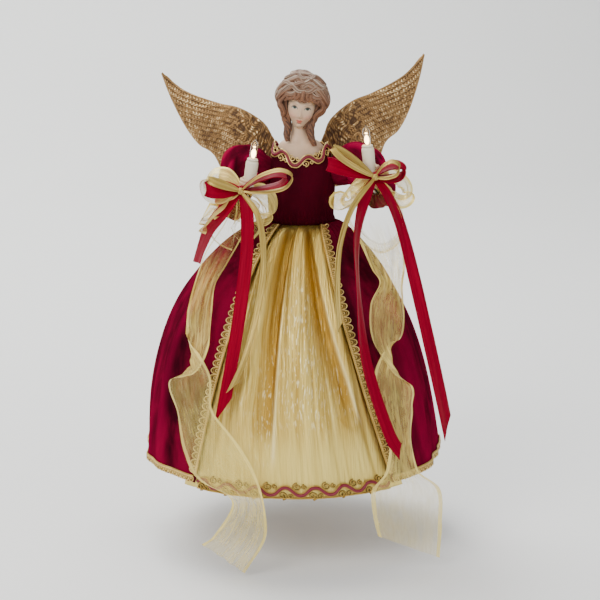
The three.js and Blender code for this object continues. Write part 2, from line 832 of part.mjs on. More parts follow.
const sleeveMouth = Math.sqrt(sleeveBallRadius ** 2 - sleeveStart ** 2);
const sleeveRadii = [
  sleeveMouth,
  sleeveBallRadius - 0.4,
  puffRadius,
  elbowRadius,
  forearmRadius,
  wristRadius,
];

function sleeve(arm) {
  const steps = 13;
  const sides = 12;
  const curve = armCurve(arm);
  const frames = curve.computeFrenetFrames(steps, false);
  const radiusAt = (share) => through(sleeveRadii, curve.getUtoTmapping(share));
  const rings = (inset) =>
    Array.from({ length: steps + 1 }, (_, k) =>
      ringAt(curve, frames, k, steps, radiusAt(k / steps) - inset, sides),
    );
  const [outer, inner] = [rings(0), rings(sleeveThickness)];
  const sheet = (stack) => (u, v) => stack[Math.round(v * steps)][Math.round(u * sides) % sides];
  return wall(sides, steps, true, sheet(outer), sheet(inner));
}

// Wire from the shoulder to the middle of the palm, down the middle of the sleeve.
const palmPlace = (arm) => {
  const back = at(arm.wrist).sub(at(arm.lampFoot)).setZ(0).normalize();
  return vec(0, 0, 6).addScaledVector(back, holderRadius + palmRadius * 0.72);
};

const lampFrame = (arm) =>
  new THREE.Matrix4()
    .makeRotationY(rad(arm.lampLean))
    .setPosition(arm.lampFoot[0], arm.lampFoot[1], arm.lampFoot[2]);

const palmCentre = (arm) => palmPlace(arm).applyMatrix4(lampFrame(arm));

function armWirePoints(arm) {
  const start = vec(arm.side * (crossbarHalf + wireTurnClear), crossbarBack, crossbarHeight);
  const end = at(arm.wrist).lerp(palmCentre(arm), 0.7);
  return [start, at(arm.puff), at(arm.elbow), at(arm.forearm), at(arm.wrist), end];
}

const armWire = (arm) => wireAlong(armWirePoints(arm), wireRadius, 20, 6);

// A hand that closes round the lamp holder: palm, four fingers, thumb and a wrist that enters the sleeve.
function hand(arm) {
  const frame = lampFrame(arm);
  const toWorld = (geometry) => solid(geometry.applyMatrix4(frame));
  const palm = palmPlace(arm);
  const facing = Math.atan2(palm.y, palm.x);
  const reach = holderRadius + fingerRadius + seat;
  const grip = (height, from, to) => {
    const points = Array.from({ length: 6 }, (_, k) => {
      const angle = facing + rad(lerp(from, to, k / 5));
      return vec(reach * Math.cos(angle), reach * Math.sin(angle), height);
    });
    const slimming = (share) => fingerRadius * (1 - 0.25 * share);
    return taperedTube(new THREE.CatmullRomCurve3(points), slimming, 4, 5);
  };
  const heights = [2.4, 4.7, 7, 9.3];
  const fingers = heights.map((height, k) => grip(height, 15, 190 - 8 * k));
  const palmBall = new THREE.SphereGeometry(palmRadius, 12, 8)
    .scale(0.8, 1, 1.35)
    .rotateZ(facing)
    .translate(palm.x, palm.y, palm.z);
  const wristEnd = at(arm.wrist);
  const made = fingers
    .concat([grip(8, -20, -120)])
    .map(toWorld)
    .reduce((sum, finger) => sum.add(finger), toWorld(palmBall))
    .add(solid(rod(3, palmCentre(arm), wristEnd, 10)));
  const lampSpace = new THREE.CylinderGeometry(holderRadius + seat, holderRadius + seat, 60, 16);
  const beyondWrist = palmCentre(arm).lerp(wristEnd, 1.2);
  const wireSpace = solid(rod(wireRadius + 0.9, palmCentre(arm), beyondWrist, 8));
  return geometryOf(made.subtract(toWorld(lampSpace.rotateX(Math.PI / 2))).subtract(wireSpace));
}

// Lamp: holder, push-in base and bulb, drawn upwards from the holder's foot

function holder() {
  const shoulderHeightOfHolder = holderLength - 2;
  return turned(
    [
      [0, 0],
      [holderFootRadius - 0.8, 0],
      [holderFootRadius, 0.8],
      [holderFootRadius, 7],
      [holderRadius - 0.2, 8.5],
      [holderRadius, shoulderHeightOfHolder],
      [holderRadius - 0.4, holderLength - 0.5],
      [holderRadius - 0.9, holderLength],
      [lampBoreRadius, holderLength],
      [lampBoreRadius, holderLength - lampBoreDepth],
      [0, holderLength - lampBoreDepth],
    ],
    16,
  );
}

const basePlugRadius = lampBoreRadius - seat;
const bulbStemRadius = 2.1;

function bulbBase() {
  const flangeFoot = holderLength + seat;
  const foot = flangeFoot - baseLength;
  const top = flangeFoot + baseFlange;
  return turned(
    [
      [0, foot],
      [basePlugRadius - 0.9, foot],
      [basePlugRadius, foot + 3],
      [basePlugRadius, flangeFoot],
      [baseFlangeRadius, flangeFoot],
      [baseFlangeRadius - 0.5, top],
      [bulbStemRadius + seat, top],
      [bulbStemRadius + seat, top - bulbSeatDepth - seat],
      [0, top - bulbSeatDepth - seat],
    ],
    16,
  );
}

function bulb() {
  const rim = holderLength + seat + baseFlange;
  const tip = rim + bulbLength;
  return turned(
    [
      [0, rim - bulbSeatDepth],
      [bulbStemRadius, rim - bulbSeatDepth],
      [bulbStemRadius, rim + 0.4],
      [bulbRadius, rim + 2],
      [bulbRadius, tip - 5.5],
      [bulbRadius * 0.82, tip - 3.4],
      [bulbRadius * 0.36, tip - 1.7],
      [0.55, tip - 0.6],
      [0, tip],
    ],
    14,
  );
}

// Twin lead of one lamp, from the holder's foot back into the sleeve beside the arm's wire.
function lampLead(arm) {
  const foot = at(arm.lampFoot);
  const down = vec(0, 0, -1);
  const wrist = at(arm.wrist);
  const under = (point, drop) => point.clone().addScaledVector(down, drop);
  const points = [
    under(foot, leadRadius + seat),
    under(foot.clone().lerp(wrist, 0.25), 5.2),
    under(foot.clone().lerp(wrist, 0.6), 5.4),
    under(wrist, wristRadius - sleeveThickness - leadRadius - 0.4),
    under(at(arm.forearm), forearmRadius * 0.5),
    under(at(arm.elbow), elbowRadius * 0.45),
    under(at(arm.puff), puffRadius * 0.4),
    under(shoulder(arm.side), 6),
  ];
  return wireAlong(points, leadRadius, 18, 5);
}

// Ribbons

// A strip of ribbon through points: each has a place, a half width and the direction of its width.
function ribbon(stations, steps, columns = 1) {
  const path = new THREE.CatmullRomCurve3(stations.map(({ place }) => place), false, 'centripetal');
  const widthOf = (t) => through(stations.map(({ half }) => half), t);
  const sideOf = (t) => {
    const span = clamp(t, 0, 1) * (stations.length - 1);
    const k = Math.min(Math.floor(span), stations.length - 2);
    return stations[k].across.clone().lerp(stations[k + 1].across, span - k).normalize();
  };
  const sheet = (sign) => (u, v) => {
    const centre = path.getPoint(u);
    const along = path.getTangent(u);
    const across = sideOf(u).addScaledVector(along, -sideOf(u).dot(along)).normalize();
    const out = along.clone().cross(across);
    return centre
      .addScaledVector(across, widthOf(u) * (2 * v - 1))
      .addScaledVector(out, (sign * ribbonThickness) / 2);
  };
  return wall(steps, columns, false, sheet(1), sheet(-1));
}

const joined = (strips, knot) =>
  geometryOf(strips.reduce((sum, strip) => sum.add(solid(strip)), solid(knot)));

function knotBall(centre, radius) {
  return new THREE.SphereGeometry(1, 10, 7)
    .scale(radius, radius * knotFlatness, radius)
    .translate(centre.x, centre.y, centre.z);
}

// A loop of a bow that leaves the knot, turns round at its far end and comes back under itself.
// reach is the far end from the knot, belly how far the two runs stand apart at the middle.
function loop(knot, reach, belly, across, half) {
  const end = knot.clone().add(reach);
  const runs = [
    [0.05, 0.12, 0.35],
    [0.45, 0.9, 0.85],
    [0.85, 0.8, 1],
    [1, 0, 1],
    [0.85, -0.8, 1],
    [0.45, -0.75, 0.85],
    [0.05, -0.12, 0.35],
  ];
  const stations = runs.map(([share, spread, width]) => ({
    place: knot.clone().lerp(end, share).addScaledVector(belly, spread),
    half: half * width,
    across,
  }));
  return ribbon(stations, 10);
}

// A tail that falls from the knot over the gown, lying flat against it: each fall is a place on the way,
// its height measured from the waist.
function tail(knot, falls, half) {
  const stations = [{ place: knot.clone(), half: half * 0.35, across: vec(1, 0, 0) }];
  for (const fall of falls) {
    const place = at(fall).add(vec(0, 0, waistHeight));
    const outwards = vec(place.x - lean(0.8), place.y, 0).normalize();
    stations.push({ place, half, across: vec(-outwards.y, outwards.x, 0) });
  }
  return ribbon(stations, falls.length * 2);
}

// Each hand's bow. The satin knot is tied in front of the fingers, at a place given from the lamp's
// foot, and the tinsel knot in front of that.
const bows = {
  right: {
    knotFromFoot: [-4.7, -9, 3.5],
    satinLoops: [
      { reach: [-25, 0, 1], belly: [0, 3.2, 1.2], across: [0, 0.15, 1] },
      { reach: [33, -4, 10.5], belly: [-1.5, -1.2, 4.6], across: [-0.1, 0.85, 0.5] },
    ],
    satinTails: [
      [[-39, -75, 19], [-39, -80, -7], [-42, -88, -37], [-48, -97, -77], [-58, -105, -131]],
      [[-54, -69, 21], [-66, -58, 5], [-73, -48, -11], [-78, -41, -27]],
    ],
    tinselLoops: [
      { reach: [-22, -1, 5], belly: [0.5, 1, 2.6], across: [0, 0.8, 0.5] },
      { reach: [37, -8, 12], belly: [-2.2, -0.5, 7], across: [-0.1, 0.85, 0.5] },
    ],
    tinselTails: [[[-31, -80, 17], [-27, -83, -12], [-30, -91, -42], [-40, -103, -82], [-52, -106, -109]]],
  },
  left: {
    knotFromFoot: [2.7, -8.7, 3.5],
    satinLoops: [
      { reach: [-34, -1.6, 9.5], belly: [0.4, 2.4, 0.2], across: [0.05, 0.2, 1] },
      { reach: [20, 2, 5], belly: [-1, 2.2, 4.4], across: [0.05, 0.8, 0.6] },
    ],
    satinTails: [
      [[45, -70, 25], [40, -76, -1], [41, -86, -37], [47, -98, -87], [63, -106, -137], [74, -106, -155]],
      [[64, -66, 27], [73, -62, 5], [81, -64, -29], [91, -66, -72], [101, -62, -115], [110, -57, -156]],
    ],
    tinselLoops: [
      { reach: [-32, -3, 14], belly: [1.5, 0.4, 4.6], across: [0.05, 0.8, 0.6] },
      { reach: [17, -2, 9], belly: [-2, 1, 4.8], across: [0.05, 0.8, 0.55] },
    ],
    tinselTails: [[[37, -78, 23], [28, -80, -5], [26, -88, -37], [28, -97, -67]]],
  },
};

const knotFlatness = 0.75;
const tinselKnotRadius = knotRadius * 0.7;
const satinKnot = (name) => at(arms[name].lampFoot).add(at(bows[name].knotFromFoot));
const tinselKnot = (name) =>
  satinKnot(name).add(vec(0, -knotFlatness * (knotRadius + tinselKnotRadius) - seat, 0));

function bow(knot, radius, loops, tails, half) {
  const strips = loops.map(({ reach, belly, across }) =>
    loop(knot, at(reach), at(belly), at(across).normalize(), half),
  );
  strips.push(...tails.map((falls) => tail(knot, falls, half)));
  return joined(strips, knotBall(knot, radius));
}

const satinBow = (name) =>
  bow(satinKnot(name), knotRadius, bows[name].satinLoops, bows[name].satinTails, satinWidth / 2);

const tinselBow = (name) =>
  bow(tinselKnot(name), tinselKnotRadius, bows[name].tinselLoops, bows[name].tinselTails, tinselWidth / 2);

// Sheer streamers: a wide ribbon gathered behind the satin knot, which turns over once on its way down
// the side of the gown, then lies open over the hem, where it flares and hangs free. Both of its edges
// are given by places from the knot, then by places on the gown: the degrees round from the front, the
// drop from the waist and the lift off the gown.
const streamers = {
  right: {
    fromKnot: [
      [[-3, 2.6, -2.6], [3, 2.6, -2.6]],
      [[-12, 4, -24], [3, 3, -28]],
      [[-26, 7, -46], [-10, 5, -54]],
      [[-34, 5, -68], [-20, 3, -72]],
      [[-40, 2, -90], [-22, -4, -94]],
    ],
    onGown: [
      [[-48, 77, 9], [-34, 80, 9]],
      [[-35, 84, 15], [-42, 89, 7]],
      [[-29, 100, 14], [-54, 106, 7]],
      [[-27, 121, 15], [-46, 131, 8]],
      [[-18, 141, 15], [-41, 157, 9]],
      [[-12, 165, 13], [-34, 174, 10]],
      [[-10, 189, 6], [-21, 186, 11]],
      [[-10, 215, 4], [-27, 212, 12]],
      [[-18, 243, 2], [-32, 222, 13]],
    ],
  },
  left: {
    fromKnot: [
      [[-3, 2.6, -2.6], [3, 2.6, -2.6]],
      [[-12, 4, -18], [10, 5, -12]],
      [[-20, 2, -30], [16, 6, -26]],
      [[-10, 0, -50], [21, 5, -46]],
      [[-2, 0, -68], [23, 4, -66]],
      [[4, -4, -78], [21, 0, -82]],
    ],
    onGown: [
      [[41, 52, 10], [61, 66, 12]],
      [[37, 72, 10], [54, 83, 10]],
      [[43, 87, 15], [45, 91, 7]],
      [[50, 105, 14], [35, 106, 8]],
      [[50, 128, 12], [34, 125, 8]],
      [[47, 149, 12], [37, 146, 9]],
      [[48, 173, 12], [34, 168, 10]],
      [[50, 185, 27], [28, 181, 8]],
      [[51, 211, 28], [29, 202, 7]],
      [[50, 238, 28], [31, 217, 7]],
    ],
  },
};

function hung([degrees, drop, lift]) {
  const share = Math.sqrt(clamp(drop / (waistHeight + hemBelowMouth), 0, 1));
  const radius = bell(share, hemBelowMouth).radius + lift;
  return vec(
    radius * Math.sin(rad(degrees)) + lean(share),
    -radius * depthRatio(share) * Math.cos(rad(degrees)),
    waistHeight - drop,
  );
}

function streamer(name) {
  const { fromKnot, onGown } = streamers[name];
  const edge = (k) => {
    const upper = fromKnot.map((pair) => satinKnot(name).add(at(pair[k])));
    const lower = onGown.map((pair) => hung(pair[k]));
    return new THREE.CatmullRomCurve3([...upper, ...lower], false, 'catmullrom', 0.5);
  };
  const edges = [edge(0), edge(1)];
  const centre = (t, v) => edges[0].getPoint(t).lerp(edges[1].getPoint(t), v);
  const sheet = (sign) => (u, v) => {
    const step = 0.004;
    const along = centre(Math.min(u + step, 1), v).sub(centre(Math.max(u - step, 0), v)).normalize();
    const across = centre(u, 1).sub(centre(u, 0)).normalize();
    const out = along.cross(across).normalize();
    return centre(u, v).addScaledVector(out, (sign * ribbonThickness) / 2);
  };
  return wall(48, 3, false, sheet(1), sheet(-1));
}

// Lead of the lamp set: from the former's foot down the back between cone and lining
function harness() {
  const points = [0.93, 0.7, 0.4, 0.1].map((share) => {
    const height = coneHeight * share;
    return vec(0, coneRadiusAt(height) + harnessClear, height);
  });
  return wireAlong(points, leadRadius * 1.4, 10, 6);
}

function harnessClip(height) {
  const radius = coneRadiusAt(height);
  const shape = new THREE.Shape().absarc(0, 0, leadRadius * 1.4 + 1.6, 0, TAU, false);
  shape.holes.push(new THREE.Path().absarc(0, 0, leadRadius * 1.4 + seat, 0, TAU, true));
  const lean = Math.atan2(coneMouthRadius - coneTopRadius, coneHeight);
  return new THREE.ExtrudeGeometry(shape, { depth: 5, bevelEnabled: false, curveSegments: 6 })
    .rotateX(lean)
    .translate(0, radius + harnessClear, height);
}

// Assembly

piece('body_cone', cone(), materials.card);
piece('skirt_lining', lining(), materials.lining);
piece('front_panel', frontPanel(), materials.lame);
piece('overskirt', overskirt(), materials.velvet);
piece('right_edge_braid', frontEdgeBraid(-1), materials.braid);
piece('left_edge_braid', frontEdgeBraid(1), materials.braid);
piece('hem_braid', hemBraid(), materials.braid);
piece('panel_hem_cord', panelHemBraid(), materials.wine);
piece('torso_former', former(), materials.foam);
piece('neck_dowel', rod(dowelRadius, vec(0, 0, dowelFoot), vec(0, 0, dowelTop), 16), materials.wood);
piece('arm_crossbar', crossbar(), materials.wire);
piece('bodice', bodice(), materials.velvet);
piece('neckline_cord', necklineBraid(), materials.wine);
piece('head_bust', headBust(), materials.bisque);
piece('hair', hair(), materials.hair);
piece('wing_plate', wingPlate(), materials.card);
piece('right_wing', wing(-1, -4.5), materials.foil);
piece('left_wing', wing(1, 4.5), materials.foil);
piece('lamp_harness', harness(), materials.lead);
piece('harness_clip', harnessClip(coneHeight * 0.45), materials.white);

for (const [name, arm] of Object.entries(arms)) {
  const limb = new THREE.Group();
  figure.add(limb);
  piece(`${name}_sleeve`, sleeve(arm), materials.velvet, limb);
  piece(`${name}_arm_wire`, armWire(arm), materials.wire, limb);
  piece(`${name}_hand`, hand(arm), materials.bisque, limb);
  piece(`${name}_lamp_lead`, lampLead(arm), materials.lead, limb);
  piece(`${name}_satin_bow`, satinBow(name), materials.satin, limb);
  piece(`${name}_tinsel_bow`, tinselBow(name), materials.tinsel, limb);
  piece(`${name}_streamer`, streamer(name), materials.sheer, limb);
  const lamp = new THREE.Group();
  lamp.position.set(...arm.lampFoot);
  lamp.rotation.y = rad(arm.lampLean);
  limb.add(lamp);
  piece(`${name}_lamp_holder`, holder(), materials.white, lamp);
  piece(`${name}_bulb_base`, bulbBase(), materials.white, lamp);
  piece(`${name}_bulb`, bulb(), materials.glass, lamp);
}

export default figure;
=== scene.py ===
import math

import bmesh
import bpy
import numpy as np
from mathutils import Matrix, Vector


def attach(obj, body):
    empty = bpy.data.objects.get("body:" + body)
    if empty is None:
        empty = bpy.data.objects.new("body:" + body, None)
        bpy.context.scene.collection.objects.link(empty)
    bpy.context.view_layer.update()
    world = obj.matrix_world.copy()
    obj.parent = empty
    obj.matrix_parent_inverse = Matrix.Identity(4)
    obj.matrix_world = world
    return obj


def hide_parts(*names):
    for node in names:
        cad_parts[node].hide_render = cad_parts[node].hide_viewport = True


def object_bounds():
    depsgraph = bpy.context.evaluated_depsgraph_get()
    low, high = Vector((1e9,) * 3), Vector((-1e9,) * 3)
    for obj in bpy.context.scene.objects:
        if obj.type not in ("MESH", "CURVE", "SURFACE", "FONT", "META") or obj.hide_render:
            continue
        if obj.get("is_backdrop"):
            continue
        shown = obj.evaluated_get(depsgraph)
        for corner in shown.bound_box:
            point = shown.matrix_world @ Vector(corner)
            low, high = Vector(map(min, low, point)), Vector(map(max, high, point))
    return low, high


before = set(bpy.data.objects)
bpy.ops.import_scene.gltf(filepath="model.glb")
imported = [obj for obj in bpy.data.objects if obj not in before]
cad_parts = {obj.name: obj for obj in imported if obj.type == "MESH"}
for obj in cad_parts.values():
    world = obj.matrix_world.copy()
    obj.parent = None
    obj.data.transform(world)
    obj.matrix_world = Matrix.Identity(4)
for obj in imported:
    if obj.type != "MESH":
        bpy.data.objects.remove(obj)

bl_info = {
    "name": "Angel tree topper",
    "version": (1, 0, 0),
    "blender": (4, 5, 0),
    "location": "3D View > Sidebar > Topper",
    "description": "Builds a dressed angel tree topper with foil wings, ribbons and two lamps",
    "category": "Add Mesh",
}

MM = 0.001
TAU = 2 * math.pi
TUBE_GIRTH = 0.004  # cloth coordinate round every tube, in metres
STARTING_BOX = [list(corner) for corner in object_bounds()]

# Shape of the gown, in millimetres. Every layer shares one bell.
WAIST = 177.0
WAIST_HALF_WIDTH = 24.5
WAIST_HALF_DEPTH = 19.0
HEM_RADIUS = 113.5
HEM_BELOW = 4.0
PANEL_BELOW = 8.0
GOWN_LEAN = 9.5
PANEL_DEPTH = 1.5
LINING_DEPTH = 6.2
UNDERLAP = 9.0

# Bodice sections from the waist up to the neckline
BODICE_HALF_WIDTHS = [24.5, 25, 26, 25, 19]
BODICE_FRONT_DEPTHS = [19, 21.5, 21.5, 19, 15.5]
BODICE_BACK_DEPTHS = [19, 18, 18.5, 17.5, 12.5]

HEAD_CENTRE = np.array([0.6, -3.5, 264.0])
HEAD_HALF_WIDTH = 11.2
HEAD_ABOVE = 16.3
HEAD_BELOW = 17.4
LOCK_SIDES = 24

# Places along each arm, from the shoulder to the lamp's foot
ARMS = {
    "right": {
        "side": -1,
        "puff": (-43, -5, 219),
        "elbow": (-51, -15, 202),
        "forearm": (-50, -29, 194),
        "wrist": (-43.5, -47, 202),
        "foot": (-38.8, -59, 207),
        "lean": 8.5,
        "knot": (-43.5, -68, 210.5),
    },
    "left": {
        "side": 1,
        "puff": (44, -5, 222),
        "elbow": (55, -15, 209),
        "forearm": (59, -27, 201),
        "wrist": (55, -41, 209),
        "foot": (50.8, -53, 216),
        "lean": -6.0,
        "knot": (53.5, -61.7, 219.5),
    },
}
SHOULDER = (30, 0, 216)
ARMHOLE_RADIUS = 0.01345  # in metres


# Numbers and curves


def smooth(value, low, high):
    share = np.clip((np.asarray(value, float) - low) / (high - low), 0, 1)
    return share * share * (3 - 2 * share)


def lerp(a, b, share):
    return a + (b - a) * share


def same_shape(*values):
    """Numbers and arrays as arrays of one shape."""
    return np.broadcast_arrays(*(np.asarray(value, float) for value in values))


def stacked(*parts):
    """Arrays side by side along a new last axis, each spread to the shape that they share."""
    return np.stack(np.broadcast_arrays(*parts), axis=-1)


def run_along(line):
    """Distance along a line at each of its points."""
    return np.concatenate([[0], np.cumsum(np.linalg.norm(np.diff(line, axis=0), axis=1))])


def soft_noise(x, y, seed):
    """Smooth random values from -1 to 1 over a plane."""
    table = np.random.default_rng(seed).uniform(-1, 1, (64, 64))
    x, y = same_shape(x, y)
    column, row = np.floor(x).astype(int), np.floor(y).astype(int)
    across, along = x - column, y - row
    across = across * across * (3 - 2 * across)
    along = along * along * (3 - 2 * along)
    corner = lambda i, j: table[(column + i) % 64, (row + j) % 64]
    near = lerp(corner(0, 0), corner(1, 0), across)
    far = lerp(corner(0, 1), corner(1, 1), across)
    return lerp(near, far, along)


def spline(points, shares):
    """Places on a smooth curve through points, at shares from 0 to 1."""
    points = np.asarray(points, float)
    if points.ndim == 1:
        points = points[:, None]
    ends = np.vstack([2 * points[0] - points[1], points, 2 * points[-1] - points[-2]])
    span = np.clip(np.asarray(shares, float), 0, 1) * (len(points) - 1)
    first = np.minimum(np.floor(span).astype(int), len(points) - 2)
    t = (span - first)[:, None]
    a, b, c, d = (ends[first + k] for k in range(4))
    return 0.5 * (
        2 * b + (c - a) * t + (2 * a - 5 * b + 4 * c - d) * t**2 + (3 * b - a - 3 * c + d) * t**3
    )


def even_spline(points, count):
    """The same curve, at count places that lie evenly along it."""
    fine = spline(points, np.linspace(0, 1, 40 * len(points)))
    length = run_along(fine)
    wanted = np.linspace(0, length[-1], count)
    return np.stack([np.interp(wanted, length, fine[:, k]) for k in range(fine.shape[1])], axis=1)


def unit(vectors):
    size = np.linalg.norm(vectors, axis=-1, keepdims=True)
    return vectors / np.maximum(size, 1e-9)


def frames_along(points, closed=False):
    """Tangent and two steady side directions at each point of a line."""
    if closed:
        tangents = unit(np.roll(points, -1, axis=0) - np.roll(points, 1, axis=0))
    else:
        tangents = unit(np.gradient(points, axis=0))
    start = np.array([0.0, 0.0, 1.0])
    if abs(tangents[0] @ start) > 0.9:
        start = np.array([0.0, 1.0, 0.0])
    side = start - tangents[0] * (start @ tangents[0])
    sides = []
    for tangent in tangents:
        side = side - tangent * (side @ tangent)
        side = side / max(np.linalg.norm(side), 1e-9)
        sides.append(side)
    sides = np.array(sides)
    return tangents, sides, np.cross(tangents, sides)


# Meshes


class Form:
    """Gathers points, faces, finishes and painted values for one mesh, in millimetres."""

    def __init__(self):
        self.points = []
        self.uvs = []
        self.faces = []
        self.slots = []
        self.values = {}
        self.count = 0

    def add(self, points, faces, uvs=None, slot=0, **values):
        points = np.asarray(points, float).reshape(-1, 3)
        uvs = np.zeros((len(points), 2)) if uvs is None else np.asarray(uvs, float).reshape(-1, 2)
        self.points.append(points)
        self.uvs.append(uvs)
        self.faces.extend([tuple(self.count + k for k in face) for face in faces])
        self.slots.extend([slot] * len(faces))
        for name, value in values.items():
            column = np.broadcast_to(np.asarray(value, float).reshape(-1), (len(points),))
            self.values.setdefault(name, []).append((self.count, column))
        self.count += len(points)

    def grid(self, places, uvs=None, slot=0, closed=False, **values):
        rows, columns = places.shape[:2]
        faces = grid_faces(rows, columns, closed)
        values = {name: np.broadcast_to(value, (rows, columns)) for name, value in values.items()}
        self.add(places, faces, uvs, slot, **values)

    def tube(self, line, radius, sides=6, closed=False, slot=0, **values):
        line = np.asarray(line, float)
        radius = np.broadcast_to(np.asarray(radius, float), (len(line),))
        _, first, second = frames_along(line, closed)
        turn = np.arange(sides) * TAU / sides
        ring = first[:, None] * np.cos(turn)[None, :, None] + second[:, None] * np.sin(turn)[None, :, None]
        places = line[:, None] + ring * radius[:, None, None]
        uvs = stacked(run_along(line)[:, None] * MM, (turn / TAU)[None, :] * TUBE_GIRTH)
        rows = len(line)
        if closed:
            last = (rows - 1) * sides
            faces = grid_faces(rows, sides, True)
            faces += [(last + k, last + (k + 1) % sides, (k + 1) % sides, k) for k in range(sides)]
        else:
            faces = capped_faces(rows, sides, foot_out=True)
        self.add(places, faces, uvs, slot, **values)

    def build(self, name, finishes):
        mesh = bpy.data.meshes.new(name)
        points = np.vstack(self.points) * MM
        mesh.from_pydata(points.tolist(), [], self.faces)
        uvs = np.vstack(self.uvs)
        layer = mesh.uv_layers.new(name="cloth")
        corners = np.zeros(len(mesh.loops), dtype=np.int32)
        mesh.loops.foreach_get("vertex_index", corners)
        layer.data.foreach_set("uv", uvs[corners].astype(np.float32).ravel())
        for finish in finishes:
            mesh.materials.append(finish)
        mesh.polygons.foreach_set("material_index", np.array(self.slots, dtype=np.int32))
        for key, parts in self.values.items():
            whole = np.zeros(self.count, dtype=np.float32)
            for start, column in parts:
                whole[start : start + len(column)] = column
            attribute = mesh.attributes.new(key, "FLOAT", "POINT")
            attribute.data.foreach_set("value", whole)
        mesh.shade_smooth()
        mesh.update()
        made = bpy.data.objects.new(name, mesh)
        bpy.context.scene.collection.objects.link(made)
        return made


def grid_faces(rows, columns, closed=False):
    faces = []
    for i in range(rows - 1):
        for j in range(columns if closed else columns - 1):
            n = (j + 1) % columns
            faces.append((i * columns + j, i * columns + n, (i + 1) * columns + n, (i + 1) * columns + j))
    return faces


def capped_faces(rows, columns, foot_out=False):
    """Faces of rings joined into a tube, with both ends filled."""
    foot = list(range(columns))
    top = [(rows - 1) * columns + k for k in foot]
    (foot if foot_out else top).reverse()
    return grid_faces(rows, columns, True) + [tuple(foot), tuple(top)]


def alone(made):
    if bpy.context.object and bpy.context.object.mode != "OBJECT":
        bpy.ops.object.mode_set(mode="OBJECT")
    bpy.ops.object.select_all(action="DESELECT")
    made.select_set(True)
    bpy.context.view_layer.objects.active = made


def apply_modifiers(made):
    alone(made)
    for modifier in list(made.modifiers):
        bpy.ops.object.modifier_apply(modifier=modifier.name)


def cut_or_join(made, other, operation):
    """Takes another form away from a piece, or joins it on, and removes that form."""
    change = made.modifiers.new("Cut or join", "BOOLEAN")
    change.operation = operation
    change.object = other
    apply_modifiers(made)
    bpy.data.objects.remove(other, do_unlink=True)


def thicken(made, thickness, offset=-1.0):
    modifier = made.modifiers.new("Thickness", "SOLIDIFY")
    modifier.thickness = thickness * MM
    modifier.offset = offset
    apply_modifiers(made)


def face_outwards(made):
    alone(made)
    bpy.ops.object.mode_set(mode="EDIT")
    bpy.ops.mesh.select_all(action="SELECT")
    bpy.ops.mesh.normals_make_consistent(inside=False)
    bpy.ops.object.mode_set(mode="OBJECT")


def facing_out(made, middle=(0, 0, 100)):
    """Turns an open cloth over if its faces look at the middle."""
    mesh = made.data
    away = 0.0
    for index in range(0, len(mesh.polygons), max(len(mesh.polygons) // 400, 1)):
        polygon = mesh.polygons[index]
        away += polygon.normal.dot(polygon.center - Vector(middle) * MM)
    if away < 0:
        mesh.flip_normals()
    return made


def finish_rigid(made, finishes, angle=40):
    """Gives a modelled piece its finishes and soft shading, and settles its transform."""
    alone(made)
    bpy.ops.object.transform_apply(location=True, rotation=True, scale=True)
    for finish in finishes if not made.data.materials else []:
        made.data.materials.append(finish)
    bpy.ops.object.shade_smooth_by_angle(angle=math.radians(angle))


def copied(made, name):
    twin = made.copy()
    twin.data = made.data.copy()
    twin.name = name
    bpy.context.scene.collection.objects.link(twin)
    return twin


def settle(made, body, slot, *nodes):
    """The piece rides with its body and stands for its nodes."""
    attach(made, body)
    if nodes:
        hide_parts(*nodes)


# Finishes


def put(tree, kind, inputs=None, **settings):
    node = tree.nodes.new(kind)
    for key, value in settings.items():
        setattr(node, key, value)
    for key, value in (inputs or {}).items():
        if isinstance(value, bpy.types.NodeSocket):
            tree.links.new(value, node.inputs[key])
        else:
            node.inputs[key].default_value = value
    return node


def paint(colour):
    return (*colour, 1.0) if len(colour) == 3 else colour


def colour_mix(tree, factor, first, second, mode="MIX"):
    node = put(tree, "ShaderNodeMix", data_type="RGBA", blend_type=mode)
    for index, value in ((0, factor), (6, first), (7, second)):
        if isinstance(value, bpy.types.NodeSocket):
            tree.links.new(value, node.inputs[index])
        else:
            node.inputs[index].default_value = value if index == 0 else paint(value)
    return node.outputs[2]


def number(tree, operation, *values):
    return put(tree, "ShaderNodeMath", dict(enumerate(values)), operation=operation).outputs[0]


def remap(tree, value, low, high, to_low=0.0, to_high=1.0):
    inputs = {"Value": value, "From Min": low, "From Max": high, "To Min": to_low, "To Max": to_high}
    return put(tree, "ShaderNodeMapRange", inputs, interpolation_type="SMOOTHSTEP").outputs[0]


def stretched(tree, vector, scale):
    node = put(tree, "ShaderNodeMapping", {"Vector": vector, "Scale": scale})
    return node.outputs[0]


def grain(tree, vector, scale, detail=3.0, distortion=0.0, roughness=0.5):
    inputs = {
        "Vector": vector,
        "Scale": scale,
        "Detail": detail,
        "Distortion": distortion,
        "Roughness": roughness,
    }
    return put(tree, "ShaderNodeTexNoise", inputs).outputs["Fac"]


def effect(name, wanted, given):
    """A shared effect: an empty node group with its sockets, its input node and its output node."""
    tree = bpy.data.node_groups.new(name, "ShaderNodeTree")
    kinds = {"colour": "NodeSocketColor", "number": "NodeSocketFloat", "vector": "NodeSocketVector"}
    for label, kind in wanted:
        tree.interface.new_socket(name=label, in_out="INPUT", socket_type=kinds[kind])
    for label, kind in given:
        tree.interface.new_socket(name=label, in_out="OUTPUT", socket_type=kinds[kind])
    return tree, tree.nodes.new("NodeGroupInput").outputs, tree.nodes.new("NodeGroupOutput").inputs


# What most effects give to the surface
COLOURED = [("Color", "colour"), ("Roughness", "number"), ("Height", "number")]


